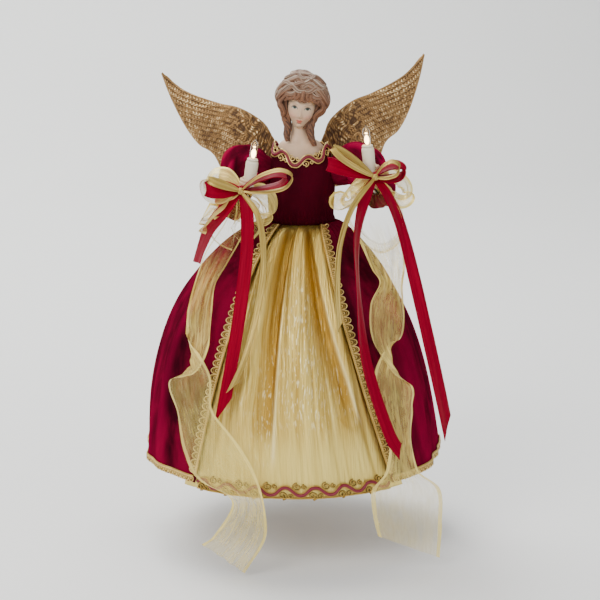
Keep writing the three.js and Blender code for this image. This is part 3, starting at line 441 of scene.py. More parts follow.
def plain_grain_effect():
    """Two colours and a roughness that drift over a plain material, with a fine grain."""
    wanted = [("Vector", "vector"), ("Light", "colour"), ("Dark", "colour")]
    wanted += [("Scale", "number"), ("Roughness", "number")]
    tree, source, result = effect("plain_grain", wanted, COLOURED)
    drift = grain(tree, source["Vector"], source["Scale"], 4.0, 0.6)
    fine = grain(tree, source["Vector"], number(tree, "MULTIPLY", source["Scale"], 14.0), 2.0)
    tree.links.new(colour_mix(tree, drift, source["Dark"], source["Light"]), result["Color"])
    spread = number(tree, "MULTIPLY", number(tree, "SUBTRACT", drift, 0.5), 0.25)
    tree.links.new(number(tree, "ADD", source["Roughness"], spread), result["Roughness"])
    height = number(tree, "MULTIPLY", drift, 0.4)
    tree.links.new(number(tree, "ADD", height, number(tree, "MULTIPLY", fine, 0.6)), result["Height"])
    return tree


def crushed_pile_effect():
    """Velvet pile laid in patches, so that some of it looks deep and some of it bright."""
    wanted = [("Vector", "vector"), ("Deep", "colour"), ("Bright", "colour"), ("Patches", "number")]
    tree, source, result = effect("crushed_pile", wanted, COLOURED)
    down = stretched(tree, source["Vector"], (1.0, 1.0, 0.4))
    broad = grain(tree, down, source["Patches"], 3.0, 0.9, 0.5)
    near = grain(tree, down, number(tree, "MULTIPLY", source["Patches"], 3.6), 3.0, 0.8)
    laid = number(tree, "ADD", number(tree, "MULTIPLY", broad, 0.7), number(tree, "MULTIPLY", near, 0.3))
    patch = remap(tree, laid, 0.36, 0.68)
    pile = grain(tree, source["Vector"], 2400.0, 2.0)
    bright = colour_mix(tree, patch, source["Deep"], source["Bright"])
    speck = remap(tree, pile, 0.25, 0.75, 0.8, 1.15)
    shade = put(tree, "ShaderNodeCombineColor", {0: speck, 1: speck, 2: speck}).outputs[0]
    tree.links.new(colour_mix(tree, 1.0, bright, shade, "MULTIPLY"), result["Color"])
    tree.links.new(remap(tree, patch, 0.0, 1.0, 0.62, 0.42), result["Roughness"])
    height = number(tree, "ADD", number(tree, "MULTIPLY", pile, 0.35), number(tree, "MULTIPLY", laid, 0.65))
    tree.links.new(height, result["Height"])
    return tree


def woven_effect():
    """Warp and weft on cloth laid out in metres, with streaks that run along it."""
    wanted = [("Vector", "vector"), ("Light", "colour"), ("Dark", "colour"), ("Pitch", "number")]
    wanted += [("Streak", "number")]
    tree, source, result = effect("woven_threads", wanted, COLOURED)
    parts = put(tree, "ShaderNodeSeparateXYZ", {0: source["Vector"]}).outputs
    waves = []
    for part in (parts[0], parts[1]):
        turns = number(tree, "DIVIDE", part, source["Pitch"])
        wave = number(tree, "SINE", number(tree, "MULTIPLY", turns, TAU))
        waves.append(number(tree, "MULTIPLY_ADD", wave, 0.5, 0.5))
    threads = number(tree, "MULTIPLY", waves[0], waves[1])
    run = stretched(tree, source["Vector"], (900.0, 26.0, 1.0))
    streak = grain(tree, run, 1.0, 4.0, 0.25)
    broad = grain(tree, stretched(tree, source["Vector"], (160.0, 9.0, 1.0)), 1.0, 3.0, 0.4)
    both = number(tree, "ADD", number(tree, "MULTIPLY", streak, 0.55), number(tree, "MULTIPLY", broad, 0.45))
    laid = remap(tree, both, 0.3, 0.7)
    tree.links.new(colour_mix(tree, laid, source["Dark"], source["Light"]), result["Color"])
    tree.links.new(remap(tree, laid, 0.0, 1.0, 0.55, 0.3), result["Roughness"])
    height = number(tree, "MULTIPLY", number(tree, "SUBTRACT", both, 0.5), source["Streak"])
    tree.links.new(number(tree, "ADD", height, number(tree, "MULTIPLY", threads, 0.3)), result["Height"])
    return tree


def sheer_effect():
    """Fine open weave: how much of the cloth is thread, with close-woven edges."""
    wanted = [("Vector", "vector"), ("Cover", "number"), ("Width", "number")]
    given = [("Alpha", "number"), ("Height", "number")]
    tree, source, result = effect("open_weave", wanted, given)
    parts = put(tree, "ShaderNodeSeparateXYZ", {0: source["Vector"]}).outputs
    streak = grain(tree, stretched(tree, source["Vector"], (420.0, 90.0, 1.0)), 1.0, 4.0, 0.3)
    cloud = grain(tree, stretched(tree, source["Vector"], (90.0, 40.0, 1.0)), 1.0, 3.0, 0.6)
    body = number(tree, "ADD", number(tree, "MULTIPLY", streak, 0.6), number(tree, "MULTIPLY", cloud, 0.4))
    thin = remap(tree, body, 0.3, 0.72, 0.55, 1.5)
    cover = number(tree, "MULTIPLY", source["Cover"], thin)
    half = number(tree, "MULTIPLY", source["Width"], 0.5)
    out = number(tree, "ABSOLUTE", number(tree, "SUBTRACT", parts[0], half))
    edge = remap(tree, number(tree, "DIVIDE", out, half), 0.86, 0.9, 0.0, 0.45)
    total = put(tree, "ShaderNodeClamp", {0: number(tree, "ADD", cover, edge)}).outputs[0]
    tree.links.new(total, result["Alpha"])
    tree.links.new(body, result["Height"])
    return tree


def antique_effect():
    """Embossed metal: dark in the hollows, worn bright on what stands up."""
    wanted = [("Vector", "vector"), ("Relief", "number"), ("Dark", "colour"), ("Body", "colour")]
    wanted += [("Bright", "colour")]
    given = [("Color", "colour"), ("Roughness", "number"), ("Metallic", "number"), ("Height", "number")]
    tree, source, result = effect("antique_metal", wanted, given)
    drift = grain(tree, source["Vector"], 90.0, 4.0, 0.8)
    fine = grain(tree, source["Vector"], 1500.0, 3.0)
    moved = number(tree, "ADD", source["Relief"], number(tree, "MULTIPLY", number(tree, "SUBTRACT", drift, 0.5), 0.5))
    body = colour_mix(tree, remap(tree, moved, 0.12, 0.5), source["Dark"], source["Body"])
    # Painted highlight, with wear: raised relief is mixed towards the bright colour
    wear_and_painted_light = colour_mix(tree, remap(tree, moved, 0.62, 0.98), body, source["Bright"])
    tree.links.new(wear_and_painted_light, result["Color"])
    tree.links.new(remap(tree, moved, 0.1, 0.9, 0.62, 0.32), result["Roughness"])
    tree.links.new(remap(tree, moved, 0.05, 0.5, 0.35, 0.9), result["Metallic"])
    tree.links.new(number(tree, "MULTIPLY", fine, 0.5), result["Height"])
    return tree


FINISHES = {}


def material(name, group, sockets, coordinates="Object", bump=(0.2, 0.0003), **surface):
    """One finish: a shared effect into the surface, with the piece's own place or cloth coordinates."""
    made = bpy.data.materials.new(name)
    made.use_nodes = True
    tree = made.node_tree
    tree.nodes.clear()
    output = tree.nodes.new("ShaderNodeOutputMaterial")
    shader = put(tree, "ShaderNodeBsdfPrincipled", surface)
    tree.links.new(shader.outputs[0], output.inputs[0])
    place = tree.nodes.new("ShaderNodeTexCoord").outputs[coordinates]
    node = tree.nodes.new("ShaderNodeGroup")
    node.node_tree = group
    tree.links.new(place, node.inputs["Vector"])
    for key, value in sockets.items():
        if isinstance(value, str):
            fetched = put(tree, "ShaderNodeAttribute", attribute_name=value).outputs["Fac"]
            tree.links.new(fetched, node.inputs[key])
        else:
            node.inputs[key].default_value = paint(value) if hasattr(value, "__len__") else value
    links = (("Color", "Base Color"), ("Roughness", "Roughness"), ("Metallic", "Metallic"), ("Alpha", "Alpha"))
    for given, wanted in links:
        if given in node.outputs:
            tree.links.new(node.outputs[given], shader.inputs[wanted])
    lift = put(tree, "ShaderNodeBump", {"Strength": bump[0], "Distance": bump[1], "Height": node.outputs["Height"]})
    tree.links.new(lift.outputs[0], shader.inputs["Normal"])
    FINISHES[name] = made
    return made


def painted_material(name, base, layers, **surface):
    """A finish whose colour is painted in layers, each a value of the mesh and a colour."""
    painted(material(name, bpy.data.node_groups["plain_grain"], base, **surface), layers)


def surface_of(made):
    return next(node for node in made.node_tree.nodes if node.type == "BSDF_PRINCIPLED")


def painted(made, layers):
    """Paints layers over a finish. A layer with a stretch is broken up into flecks along the cloth."""
    tree = made.node_tree
    shader = surface_of(made)
    colour = shader.inputs["Base Color"].links[0].from_socket
    for value, tint, *stretch in layers:
        mask = put(tree, "ShaderNodeAttribute", attribute_name=value).outputs["Fac"]
        if stretch:
            place = tree.nodes.new("ShaderNodeTexCoord").outputs["UV"]
            fleck = remap(tree, grain(tree, stretched(tree, place, stretch[0]), 1.0, 2.0, 0.3), 0.56, 0.66)
            mask = number(tree, "MULTIPLY", mask, fleck)
        colour = colour_mix(tree, mask, colour, tint)
    tree.links.new(colour, shader.inputs["Base Color"])


def make_finishes():
    plain = plain_grain_effect()
    pile = crushed_pile_effect()
    woven = woven_effect()
    sheer = sheer_effect()
    antique = antique_effect()

    def simple(name, light, dark, scale, roughness, bump=(0.2, 0.0003), **surface):
        sockets = {"Light": light, "Dark": dark, "Scale": scale, "Roughness": roughness}
        return material(name, plain, sockets, bump=bump, **surface)

    simple("card", (0.52, 0.4, 0.26), (0.4, 0.29, 0.17), 60.0, 0.85, (0.3, 0.0004))
    simple("lining", (0.82, 0.77, 0.68), (0.7, 0.64, 0.54), 90.0, 0.9, (0.4, 0.0004))
    simple("foam", (0.82, 0.8, 0.74), (0.7, 0.68, 0.62), 250.0, 0.95, (0.6, 0.0006))
    simple("wood", (0.62, 0.43, 0.23), (0.5, 0.32, 0.16), 120.0, 0.6)
    simple("wire", (0.5, 0.5, 0.52), (0.38, 0.38, 0.4), 200.0, 0.35, Metallic=1.0)
    simple("lead", (0.85, 0.83, 0.76), (0.76, 0.74, 0.66), 150.0, 0.45)
    simple("white_plastic", (0.86, 0.77, 0.6), (0.76, 0.67, 0.5), 160.0, 0.4, (0.08, 0.0002))
    simple("cap", (0.66, 0.62, 0.52), (0.5, 0.46, 0.38), 300.0, 0.35, Metallic=0.3)
    velvet = material(
        "velvet",
        pile,
        {"Deep": (0.028, 0.002, 0.006), "Bright": (0.175, 0.004, 0.023), "Patches": 27.0},
        bump=(0.6, 0.001),
        **{"Specular IOR Level": 0.0, "Sheen Weight": 0.07, "Sheen Roughness": 0.4, "Sheen Tint": (0.9, 0.02, 0.13, 1)},
    )
    # The first layer is a painted highlight along the ridges of the folds.
    # The second layer is painted shade that darkens the whole bodice.
    painted(velvet, [("crest", (0.3, 0.004, 0.04)), ("brushed_down", (0.03, 0.002, 0.006))])
    lame = material(
        "lame",
        woven,
        {"Light": (0.86, 0.66, 0.19), "Dark": (0.52, 0.33, 0.06), "Pitch": 0.0007, "Streak": 2.8},
        "UV",
        (0.7, 0.0006),
        Metallic=0.92,
    )
    # Painted light on the front panel: shade deep in its folds, glints and a shine as painted highlights, and a paler
    # colour where it lies plain.
    painted(
        lame,
        [
            ("fold", (0.38, 0.2, 0.02)),
            ("plain", (0.86, 0.69, 0.2)),
            ("glint", (1.0, 0.9, 0.5), (800, 130, 1)),
            ("shine", (1.0, 0.85, 0.4)),
        ],
    )
    material(
        "satin",
        woven,
        {"Light": (0.27, 0.0, 0.016), "Dark": (0.17, 0.0, 0.009), "Pitch": 0.0005, "Streak": 0.5},
        "UV",
        (0.25, 0.0002),
        **{"Specular IOR Level": 0.22, "Specular Tint": (1.0, 0.12, 0.25, 1)},
    )
    material(
        "tinsel",
        woven,
        {"Light": (0.6, 0.44, 0.13), "Dark": (0.32, 0.21, 0.045), "Pitch": 0.0006, "Streak": 1.2},
        "UV",
        (0.5, 0.0003),
        Metallic=0.9,
    )
    material(
        "sheer",
        sheer,
        {"Cover": "cover", "Width": 0.05},
        "UV",
        (0.5, 0.0006),
        Roughness=0.5,
        Metallic=0.4,
        **{"Base Color": (0.88, 0.7, 0.2, 1), "Sheen Weight": 0.05},
    )
    # Bright is the painted highlight on raised relief, partly wear.
    metal = {"Dark": (0.075, 0.034, 0.012), "Body": (0.33, 0.19, 0.075), "Bright": (0.86, 0.64, 0.34)}
    material("foil", antique, {"Relief": "relief", **metal}, bump=(0.2, 0.0003))
    gold = {"Dark": (0.09, 0.042, 0.008), "Body": (0.56, 0.36, 0.085), "Bright": (0.95, 0.72, 0.27)}
    material("braid", antique, {"Relief": "relief", **gold}, bump=(0.4, 0.0003))
    simple("wine_cord", (0.25, 0.006, 0.028), (0.12, 0.003, 0.014), 400.0, 0.5, (0.6, 0.0004))
    skin = {"Light": (0.66, 0.46, 0.31), "Dark": (0.59, 0.4, 0.26), "Scale": 70.0, "Roughness": 0.5}
    painted_material(
        "bisque",
        skin,
        [
            ("blush", (0.72, 0.3, 0.23)),
            ("lips", (0.5, 0.11, 0.08)),
            ("brows", (0.3, 0.15, 0.08)),
            ("eye_whites", (0.6, 0.57, 0.5)),
            ("irises", (0.008, 0.03, 0.016)),
            ("lashes", (0.025, 0.014, 0.01)),
        ],
        bump=(0.06, 0.0002),
        **{"Subsurface Weight": 0.12, "Subsurface Radius": (0.004, 0.002, 0.001)},
    )
    tress = {"Light": (0.29, 0.122, 0.055), "Dark": (0.165, 0.064, 0.028), "Scale": 160.0, "Roughness": 0.6}
    # The hollow layer is painted shade in the grooves and under the locks; the gleam layer is a painted highlight.
    painted_material(
        "hair",
        tress,
        [
            ("frost", (0.32, 0.235, 0.165)),
            ("combed", (0.085, 0.033, 0.015), (800, 34, 1)),
            ("gleam", (0.56, 0.47, 0.37), (700, 30, 1)),
            ("hollow", (0.042, 0.015, 0.007)),
        ],
        bump=(0.5, 0.0004),
    )
    clear = {"Transmission Weight": 1.0, "IOR": 1.35}
    simple("lamp_glass", (1.0, 0.97, 0.9), (0.98, 0.93, 0.82), 200.0, 0.04, (0.02, 0.0001), **clear)
    glow = simple("filament_glow", (1.0, 0.78, 0.42), (1.0, 0.66, 0.28), 600.0, 0.5, (0.02, 0.0001))
    shader = surface_of(glow)
    colour = shader.inputs["Base Color"].links[0].from_socket
    glow.node_tree.links.new(colour, shader.inputs["Emission Color"])
    shader.inputs["Emission Strength"].default_value = 14.0
    simple("floor", (0.9, 0.9, 0.89), (0.86, 0.86, 0.85), 2.0, 0.8, (0.05, 0.001))


def look():
    return bpy.context.scene.topper


# Gown


def bell(share, below=HEM_BELOW):
    """Radius and height of the gown's outermost layer, from the waist at 0 to the hem at 1."""
    drop = np.asarray(share, float) ** 2
    fullness = 0.5 * (1 - (1 - drop) ** 3) + 0.5 * drop**0.4
    return WAIST_HALF_WIDTH + (HEM_RADIUS - WAIST_HALF_WIDTH) * fullness, WAIST - (WAIST + below) * drop


def gown_lean(share):
    return -GOWN_LEAN * np.sin(0.8 * math.pi * share**1.2)


def gown_place(angle, share, out, below=HEM_BELOW):
    """A place on the gown at an angle from the front, lifted out from the bell."""
    angle, share, out = same_shape(angle, share, out)
    low_radius, low_height = bell(np.maximum(share - 0.02, 0), below)
    high_radius, high_height = bell(np.minimum(share + 0.02, 1), below)
    slope = np.hypot(high_radius - low_radius, high_height - low_height)
    radius, height = bell(share, below)
    radius = radius + (low_height - high_height) / slope * out
    height = height + (high_radius - low_radius) / slope * out
    depth = lerp(WAIST_HALF_DEPTH / WAIST_HALF_WIDTH, 1, smooth(share, 0, 0.6))
    return np.stack(
        [radius * np.sin(angle) + gown_lean(share), -radius * depth * np.cos(angle), height], axis=-1
    )


def opening_angle(share, extra=0.0):
    """How far round from the front the overskirt's edge lies."""
    half = lerp(15.0, 73.0, (np.asarray(share, float) ** 2) ** 0.8)
    return np.arcsin(np.minimum((half + extra) / bell(share)[0], 0.98))


def overskirt_fold(angle, share):
    gown = look()
    from_edge = np.minimum(angle, TAU - angle) - opening_angle(share)
    strength = smooth(from_edge, 0.05, 0.5) * smooth(share, 0.05, 0.9)
    wave = np.sin(11 * angle + 2.2 * share) + 0.45 * np.sin(16 * angle - 1.3)
    broad = gown.fold_depth * 1000 * strength * wave * 0.7
    near_waist = (1 - smooth(share, 0.08, 0.4)) * smooth(share, 0.0, 0.05) * smooth(from_edge, 0.0, 0.2)
    gathers = gown.gather_depth * 1000 * np.sin(38 * angle + 1.5 * np.sin(7 * angle)) * near_waist
    dents = soft_noise(angle * 5.5 + 3, share * 4.2, 11) + 0.5 * soft_noise(angle * 12, share * 7, 12)
    hem = np.sin(25 * angle + 3 * np.sin(4 * angle)) * smooth(share, 0.7, 1)
    settled = smooth(from_edge, 0.02, 0.25) * smooth(share, 0.1, 0.35)
    return broad + gathers + settled * (1.1 * dents + 0.6 * hem)


def overskirt_place(angle, share, lift=0.0):
    return gown_place(angle, share, overskirt_fold(angle, share) + lift)


# Pleats of the front panel: place across, drift on the way down, width, height and where they end
PANEL_PLEATS = [
    (-0.12, -0.16, 0.11, -3.8, 0.95),
    (-0.36, -0.12, 0.12, 4.0, 0.92),
    (0.1, 0.05, 0.2, 6.2, 0.88),
    (0.2, 0.52, 0.1, -3.8, 0.88),
    (0.48, 0.38, 0.1, 3.8, 0.88),
]


def valley(off):
    """A fold that deepens slowly from one side and ends at a sharp ridge on the other."""
    return smooth(off, -1.9, 0.3) * (1 - smooth(off, 0.5, 1.0))


def panel_fold(across, share):
    """How far the front panel stands off its bell: broad pleats that fall from the waist, and crinkle."""
    settle_in = smooth(1 - np.abs(across), 0.05, 0.3)
    top = smooth(share, 0.02, 0.2)
    rise = 0.0
    for place, drift, width, height, end in PANEL_PLEATS:
        run = top * (1 - smooth(share, end - 0.16, end))
        off = (across - place - drift * share) / width
        rise = rise + height * run * (valley(off) if height < 0 else np.exp(-(off**2)))
    ray = 0.8 * soft_noise(across * 6 + 2, share * 1.3, 21) * top
    pleat = 0.55 * soft_noise(across * 17, share * 2.2 + 5, 22) + 0.3 * soft_noise(across * 41, share * 4, 23)
    fold = settle_in * (rise + ray + look().crinkle_depth * 1000 * pleat)
    return np.maximum(fold, -3.8)


def panel_place(across, share, lift=0.0):
    angle = across * opening_angle(share, UNDERLAP)
    return gown_place(angle, share, panel_fold(across, share) - PANEL_DEPTH + lift, PANEL_BELOW)


def cloth_uvs(places):
    """Cloth coordinates in metres: across from the middle, and down from the top edge."""
    down = np.linalg.norm(np.diff(places, axis=0), axis=2).mean(axis=1)
    down = np.concatenate([[0], np.cumsum(down)])
    wide = np.linalg.norm(np.diff(places, axis=1), axis=2)
    across = np.concatenate([np.zeros((len(places), 1)), np.cumsum(wide, axis=1)], axis=1)
    across = across - across[:, -1:] / 2
    return stacked(across, down[:, None]) * MM


def panel_paint(across, share):
    """Where the front panel is deep in a fold, where it glints and where it lies plain."""
    deep = shine = 0.0
    for place, drift, width, height, end in PANEL_PLEATS:
        if height < 0:
            run = smooth(share, 0.0, 0.15) * (1 - smooth(share, end - 0.1, end))
            off = (across - place - drift * share) / width
            # Painted shade along each valley
            deep = deep + run * valley(off)
            low = smooth(share, 0.35, 0.6) * (1 - smooth(share, end - 0.05, end))
            # Painted shade where the fold ends at its foot, and a painted highlight beside its sharp ridge
            from_foot = share - end + 0.015 + 0.025 * off**2
            foot = np.exp(-((from_foot / 0.011) ** 2)) * (1 - smooth(np.abs(off), 1.0, 1.5))
            shine = shine + 0.75 * low * np.exp(-(((off - 0.95) / 0.15) ** 2))
            deep = deep + 0.45 * foot
    # Painted glints on the broad middle ridge, by the left edge and in the lower folds
    crest = np.exp(-(((across - 0.13 - 0.05 * share) / 0.26) ** 2)) + 0.6 * np.exp(-(((across + 0.62) / 0.16) ** 2))
    glint = crest * smooth(share, 0.3, 0.5) * (1 - smooth(share, 0.8, 0.9)) + 0.5 * deep * smooth(share, 0.6, 0.8)
    plain = 0.7 * smooth(share, 0.84, 0.93) + 0 * across
    shine = np.clip(shine, 0, 1)
    return {"fold": np.clip(0.85 * deep, 0, 1), "glint": np.clip(glint, 0, 1), "plain": plain, "shine": shine}


def tucked_in(places):
    """The cloth with one more row on top, turned in under the bodice."""
    top = places[:1] * np.array([0.94, 0.94, 1.0]) + np.array([0, 0, 4.0])
    return np.concatenate([top, places])


def make_gown():
    share = np.linspace(0, 1, 44)[:, None]
    turn = np.linspace(0, TAU, 121)[None, :-1]
    form = Form()
    form.grid(gown_place(turn, np.maximum(share, 0.06), -LINING_DEPTH), closed=True)
    lining = facing_out(form.build("lining_cloth", [FINISHES["lining"]]))
    thicken(lining, 1.2)
    settle(lining, "figure", "lining", "skirt_lining")

    share = np.linspace(0, 1, 150)[:, None]
    across = np.linspace(-1, 1, 190)[None, :]
    places = tucked_in(panel_place(across, share))
    form = Form()
    form.grid(places, cloth_uvs(places), **panel_paint(across, np.vstack([[0], share])))
    panel = facing_out(form.build("panel_cloth", [FINISHES["lame"]]))
    thicken(panel, 0.5)
    settle(panel, "figure", "lame", "front_panel")

    share = np.linspace(0, 1, 110)[:, None]
    edge = opening_angle(share)
    angle = lerp(edge, TAU - edge, np.linspace(0, 1, 330)[None, :])
    places = tucked_in(overskirt_place(angle, share))
    # Painted highlight along the ridges of the overskirt's folds
    crest = 0.55 * smooth(overskirt_fold(angle, share), 0.2, 2.6)
    form = Form()
    form.grid(places, cloth_uvs(places), crest=np.vstack([crest[:1], crest]))
    skirt = facing_out(form.build("overskirt_cloth", [FINISHES["velvet"]]))
    thicken(skirt, 0.8)
    settle(skirt, "figure", "velvet", "overskirt")


# Braid and cord


def edge_line(side):
    shares = np.linspace(0.055, 0.98, 300)

    def place(angle_share, across, lift):
        angle = opening_angle(angle_share) + (across - 1.0) / bell(angle_share)[0]
        return overskirt_place(angle if side > 0 else TAU - angle, angle_share, lift)

    length = run_along(place(shares, 0.0, 0.0))
    return length[-1], lambda s, across, lift: place(np.interp(s, length, shares), across, lift)


def hem_line():
    edge = float(opening_angle(1.0))
    angles = np.linspace(edge + 0.004, TAU - edge - 0.004, 900)
    length = run_along(gown_place(angles, 1.0, 0.0))

    def place(s, across, lift):
        return overskirt_place(np.interp(s, length, angles), 1 - np.asarray(across) / 362.0, lift)

    return length[-1], place


def panel_hem_line():
    half = float(opening_angle(1.0)) - 0.012
    whole = float(opening_angle(1.0, UNDERLAP))
    angles = np.linspace(-half, half, 400)
    length = run_along(gown_place(angles, 1.0, 0.0, PANEL_BELOW))

    def place(s, across, lift):
        share = 1 - np.asarray(across) / 370.0
        return panel_place(np.interp(s, length, angles) / whole, share, lift)

    return length[-1], place


def neck_line():
    angles = np.linspace(-math.pi, math.pi, 600)
    length = run_along(bodice_place(angles, 0.97, 0.0))

    def place(s, across, lift):
        angle = np.interp(s, length, angles)
        deep = neckline_height(angle) - WAIST
        return bodice_place(angle, 0.965 + np.asarray(across) / deep, lift, top=1.12)

    return length[-1], place


def gimp(form, line, length, width, pitch, flip=False):
    """Gold braid: a corded footing with a row of shell-shaped loops along its outer side."""
    lay = lambda s, across, lift: line(s, width - across if flip else across, lift)
    s = np.linspace(0, length, int(length / 0.55))
    for across, size in ((0.45, 0.5), (2.0, 0.45)):
        form.tube(lay(s, across + 0.12 * np.sin(s * 5.2), 0.75), size, 5, relief=0.62)
    zigzag = 1.2 + 0.5 * np.sin(s * TAU / 1.9)
    form.tube(lay(s, zigzag, 0.95 + 0.2 * np.cos(s * TAU / 1.9)), 0.42, 5, relief=0.85)
    shells = max(int(length / pitch), 1)
    turn = np.linspace(-0.12, math.pi + 0.12, 13)
    reach = width - 2.3
    for k in range(shells):
        middle = (k + 0.5) * length / shells
        for size, lift, relief in ((0.98, 0.6, 0.85), (0.66, 0.85, 0.35), (0.34, 0.7, 0.8)):
            along = np.clip(middle + 0.5 * pitch * size * np.cos(turn), 0, length)
            across = 2.1 + reach * size * np.sin(turn)
            form.tube(lay(along, across, lift), 0.42, 5, relief=relief)
    base = np.stack([lay(s, across, 0.28) for across in (0.2, 1.2, 2.4 + 0.5 * reach)], axis=1)
    form.grid(base, relief=0.02)


def waved_trim(form, line, length, pitch, height, closed=False, middle=0.0, wear_and_painted_light=0.85):
    """A wine cord that runs in waves between two gold threads, with a gold curl in each hollow."""
    waves = max(int(round(length / pitch)), 1)
    count = waves * 36
    s = np.linspace(0, length, count + (0 if closed else 1), endpoint=not closed)
    phase = s / length * waves * TAU
    wave = np.sin(phase) * (1 + 0.16 * np.cos(phase) ** 2)
    centre = middle + height * wave
    slope = height * np.cos(phase) * waves * TAU / length
    form.tube(line(s, centre, 1.3), 1.15, 8, closed, slot=0)
    for sign in (1, -1):
        beside = centre + sign * 1.45 * np.sqrt(1 + slope**2)
        form.tube(line(s, beside, 1.1 + 0.12 * np.sin(s * 4.5)), 0.42, 6, closed, slot=1, relief=wear_and_painted_light)
    turn = np.linspace(0, 1, 34)
    for k in range(2 * waves):
        mid = (k + 0.5) * length / (2 * waves)
        sign = 1 if k % 2 == 0 else -1
        for shift, size, turns in ((-0.1, 1.0, 1.45), (0.14, 0.6, 1.1)):
            radius = lerp(0.145 * pitch * size, 0.35, turn**1.3)
            angle = turn * TAU * turns + (0 if sign > 0 else math.pi)
            along = mid + shift * pitch + radius * np.sin(angle)
            across = middle + sign * (height - 0.27 * pitch) - 0.85 * radius * np.cos(angle)
            form.tube(line(along, across, 0.9 + 0.7 * turn), 0.38, 6, slot=1, relief=wear_and_painted_light)
            # Darker gold: a dark thread under each curl is a painted shadow
            if wear_and_painted_light < 0.5:
                form.tube(line(along, across, 0.45), 0.62, 6, slot=1, relief=0.0)


def make_braids():
    for side, name in ((-1, "right"), (1, "left")):
        length, line = edge_line(side)
        form = Form()
        gimp(form, line, length, 8.0, 5.4)
        braid = form.build(f"{name}_edge_gimp", [FINISHES["braid"]])
        settle(braid, "figure", "braid", f"{name}_edge_braid")
    length, line = hem_line()
    form = Form()
    gimp(form, line, length, 5.6, 5.0, True)
    settle(form.build("hem_gimp", [FINISHES["braid"]]), "figure", "braid", "hem_braid")
    length, line = panel_hem_line()
    form = Form()
    # Darker gold threads, with a painted shadow under each curl
    waved_trim(form, line, length, 23.0, 2.8, middle=5.2, wear_and_painted_light=0.45)
    s = np.linspace(0, length, 300)
    form.tube(line(s, 0.0, 0.35), 0.55, 6, slot=1, relief=0.6)
    cord = form.build("panel_hem_trim", [FINISHES["wine_cord"], FINISHES["braid"]])
    settle(cord, "figure", "wine_cord", "panel_hem_cord")
    length, line = neck_line()
    form = Form()
    waved_trim(form, line, length, 17.5, 3.1, closed=True)
    cord = form.build("neckline_trim", [FINISHES["wine_cord"], FINISHES["braid"]])
    settle(cord, "figure", "wine_cord", "neckline_cord")


# Bodice


def neckline_height(angle):
    low = np.where(np.cos(angle) > 0, 226.0, 232.0)
    return lerp(235.5, low, np.cos(angle) ** 2)


def through(values, share):
    share = np.asarray(share, float)
    return spline(values, share.ravel())[:, 0].reshape(share.shape)


def bodice_place(angle, rise, out=0.0, top=1.0):
    angle, rise, out = same_shape(angle, rise, out)
    front = np.cos(angle) > 0
    inside = np.clip(rise, 0, 1)
    depth = np.where(front, through(BODICE_FRONT_DEPTHS, inside), through(BODICE_BACK_DEPTHS, inside))
    width = through(BODICE_HALF_WIDTHS, inside)
    foot = WAIST - 0.5
    height = foot + (neckline_height(angle) - foot) * np.minimum(rise, top)
    return np.stack([(width + out) * np.sin(angle), -(depth + out) * np.cos(angle), height], axis=-1)


def make_bodice():
    angle = np.linspace(-math.pi, math.pi, 241)[None, :-1]
    rise = np.linspace(0, 1, 70)[:, None]
    ridge = 1.1 * np.exp(-(((rise - 0.05) / 0.03) ** 2)) * (1 + 0.25 * np.sin(52 * angle))
    gathers = 0.35 * np.sin(46 * angle + 1.2 * np.sin(5 * angle)) * (1 - smooth(rise, 0.05, 0.3))
    drape = 0.5 * np.sin(3 * angle + 9 * rise) * np.sin(math.pi * rise) * np.sin(5 * angle - 4 * rise)
    flare = 0.7 * (1 - smooth(rise, 0.0, 0.05))
    places = bodice_place(angle, rise, ridge + gathers + drape + flare)
    form = Form()
    # Painted shade that darkens the whole bodice
    form.grid(places, cloth_uvs(places), closed=True, brushed_down=0.72)
    bodice = facing_out(form.build("bodice_cloth", [FINISHES["velvet"]]), (0, 0, 205))
    thicken(bodice, 0.9)
    for side in (-1, 1):
        place = (side * SHOULDER[0] * MM, 0, SHOULDER[2] * MM)
        bpy.ops.mesh.primitive_uv_sphere_add(segments=64, ring_count=32, radius=ARMHOLE_RADIUS, location=place)
        cut_or_join(bodice, bpy.context.object, "DIFFERENCE")
    settle(bodice, "figure", "velvet", "bodice")


# Head and hair


def bump(x, z, centre_x, centre_z, wide, high):
    return np.exp(-(((x - centre_x) / wide) ** 2) - ((z - centre_z) / high) ** 2)


def head_turn():
    turn = (
        Matrix.Rotation(math.radians(-4), 3, "Z")
        @ Matrix.Rotation(math.radians(7), 3, "X")
        @ Matrix.Rotation(math.radians(9), 3, "Y")
    )
    return np.array(turn)


def on_head(points):
    return np.asarray(points, float) @ head_turn().T + HEAD_CENTRE


def across_face(x, z):
    """Places on a ball of radius one as millimetres across and up the face."""
    return x * HEAD_HALF_WIDTH, z * np.where(z > 0, HEAD_ABOVE, HEAD_BELOW)


def sculpt_head(x, y, z):
    """A ball of radius one drawn out to the head, with the face raised on its front."""
    front = smooth(-y, 0.1, 0.6)
    right, up = across_face(x, z)
    raised = 2.5 * bump(right, up, 0, -3.9, 1.5, 1.9) + 1.2 * bump(right, up, 0, -0.6, 1.1, 3.0)
    raised += 0.9 * bump(right, up, 0, -8.1, 2.3, 0.7) + 1.0 * bump(right, up, 0, -9.6, 1.8, 0.8)
    raised += -0.5 * bump(right, up, 0, -8.85, 2.3, 0.22) - 0.5 * bump(right, up, 0, -11.0, 2.0, 0.7)
    raised += 1.5 * bump(right, up, 0, -13.2, 3.4, 2.3)
    for side in (-1, 1):
        raised += 0.6 * bump(right, up, side * 1.5, -4.8, 0.8, 0.8)
        raised += -1.3 * bump(right, up, side * 4.9, 1.9, 2.5, 1.7) + 0.9 * bump(right, up, side * 4.9, 1.5, 1.6, 0.9)
        raised += 0.4 * bump(right, up, side * 4.7, 4.2, 3.0, 0.8) + 0.8 * bump(right, up, side * 6.0, -4.6, 2.9, 2.5)
    jaw = 1 - 0.36 * smooth(-z, 0.05, 1)
    return np.stack(
        [right * jaw, y * (1 - 0.12 * smooth(-z, 0.2, 1)) * 13.0 - front * raised, up], axis=-1
    )


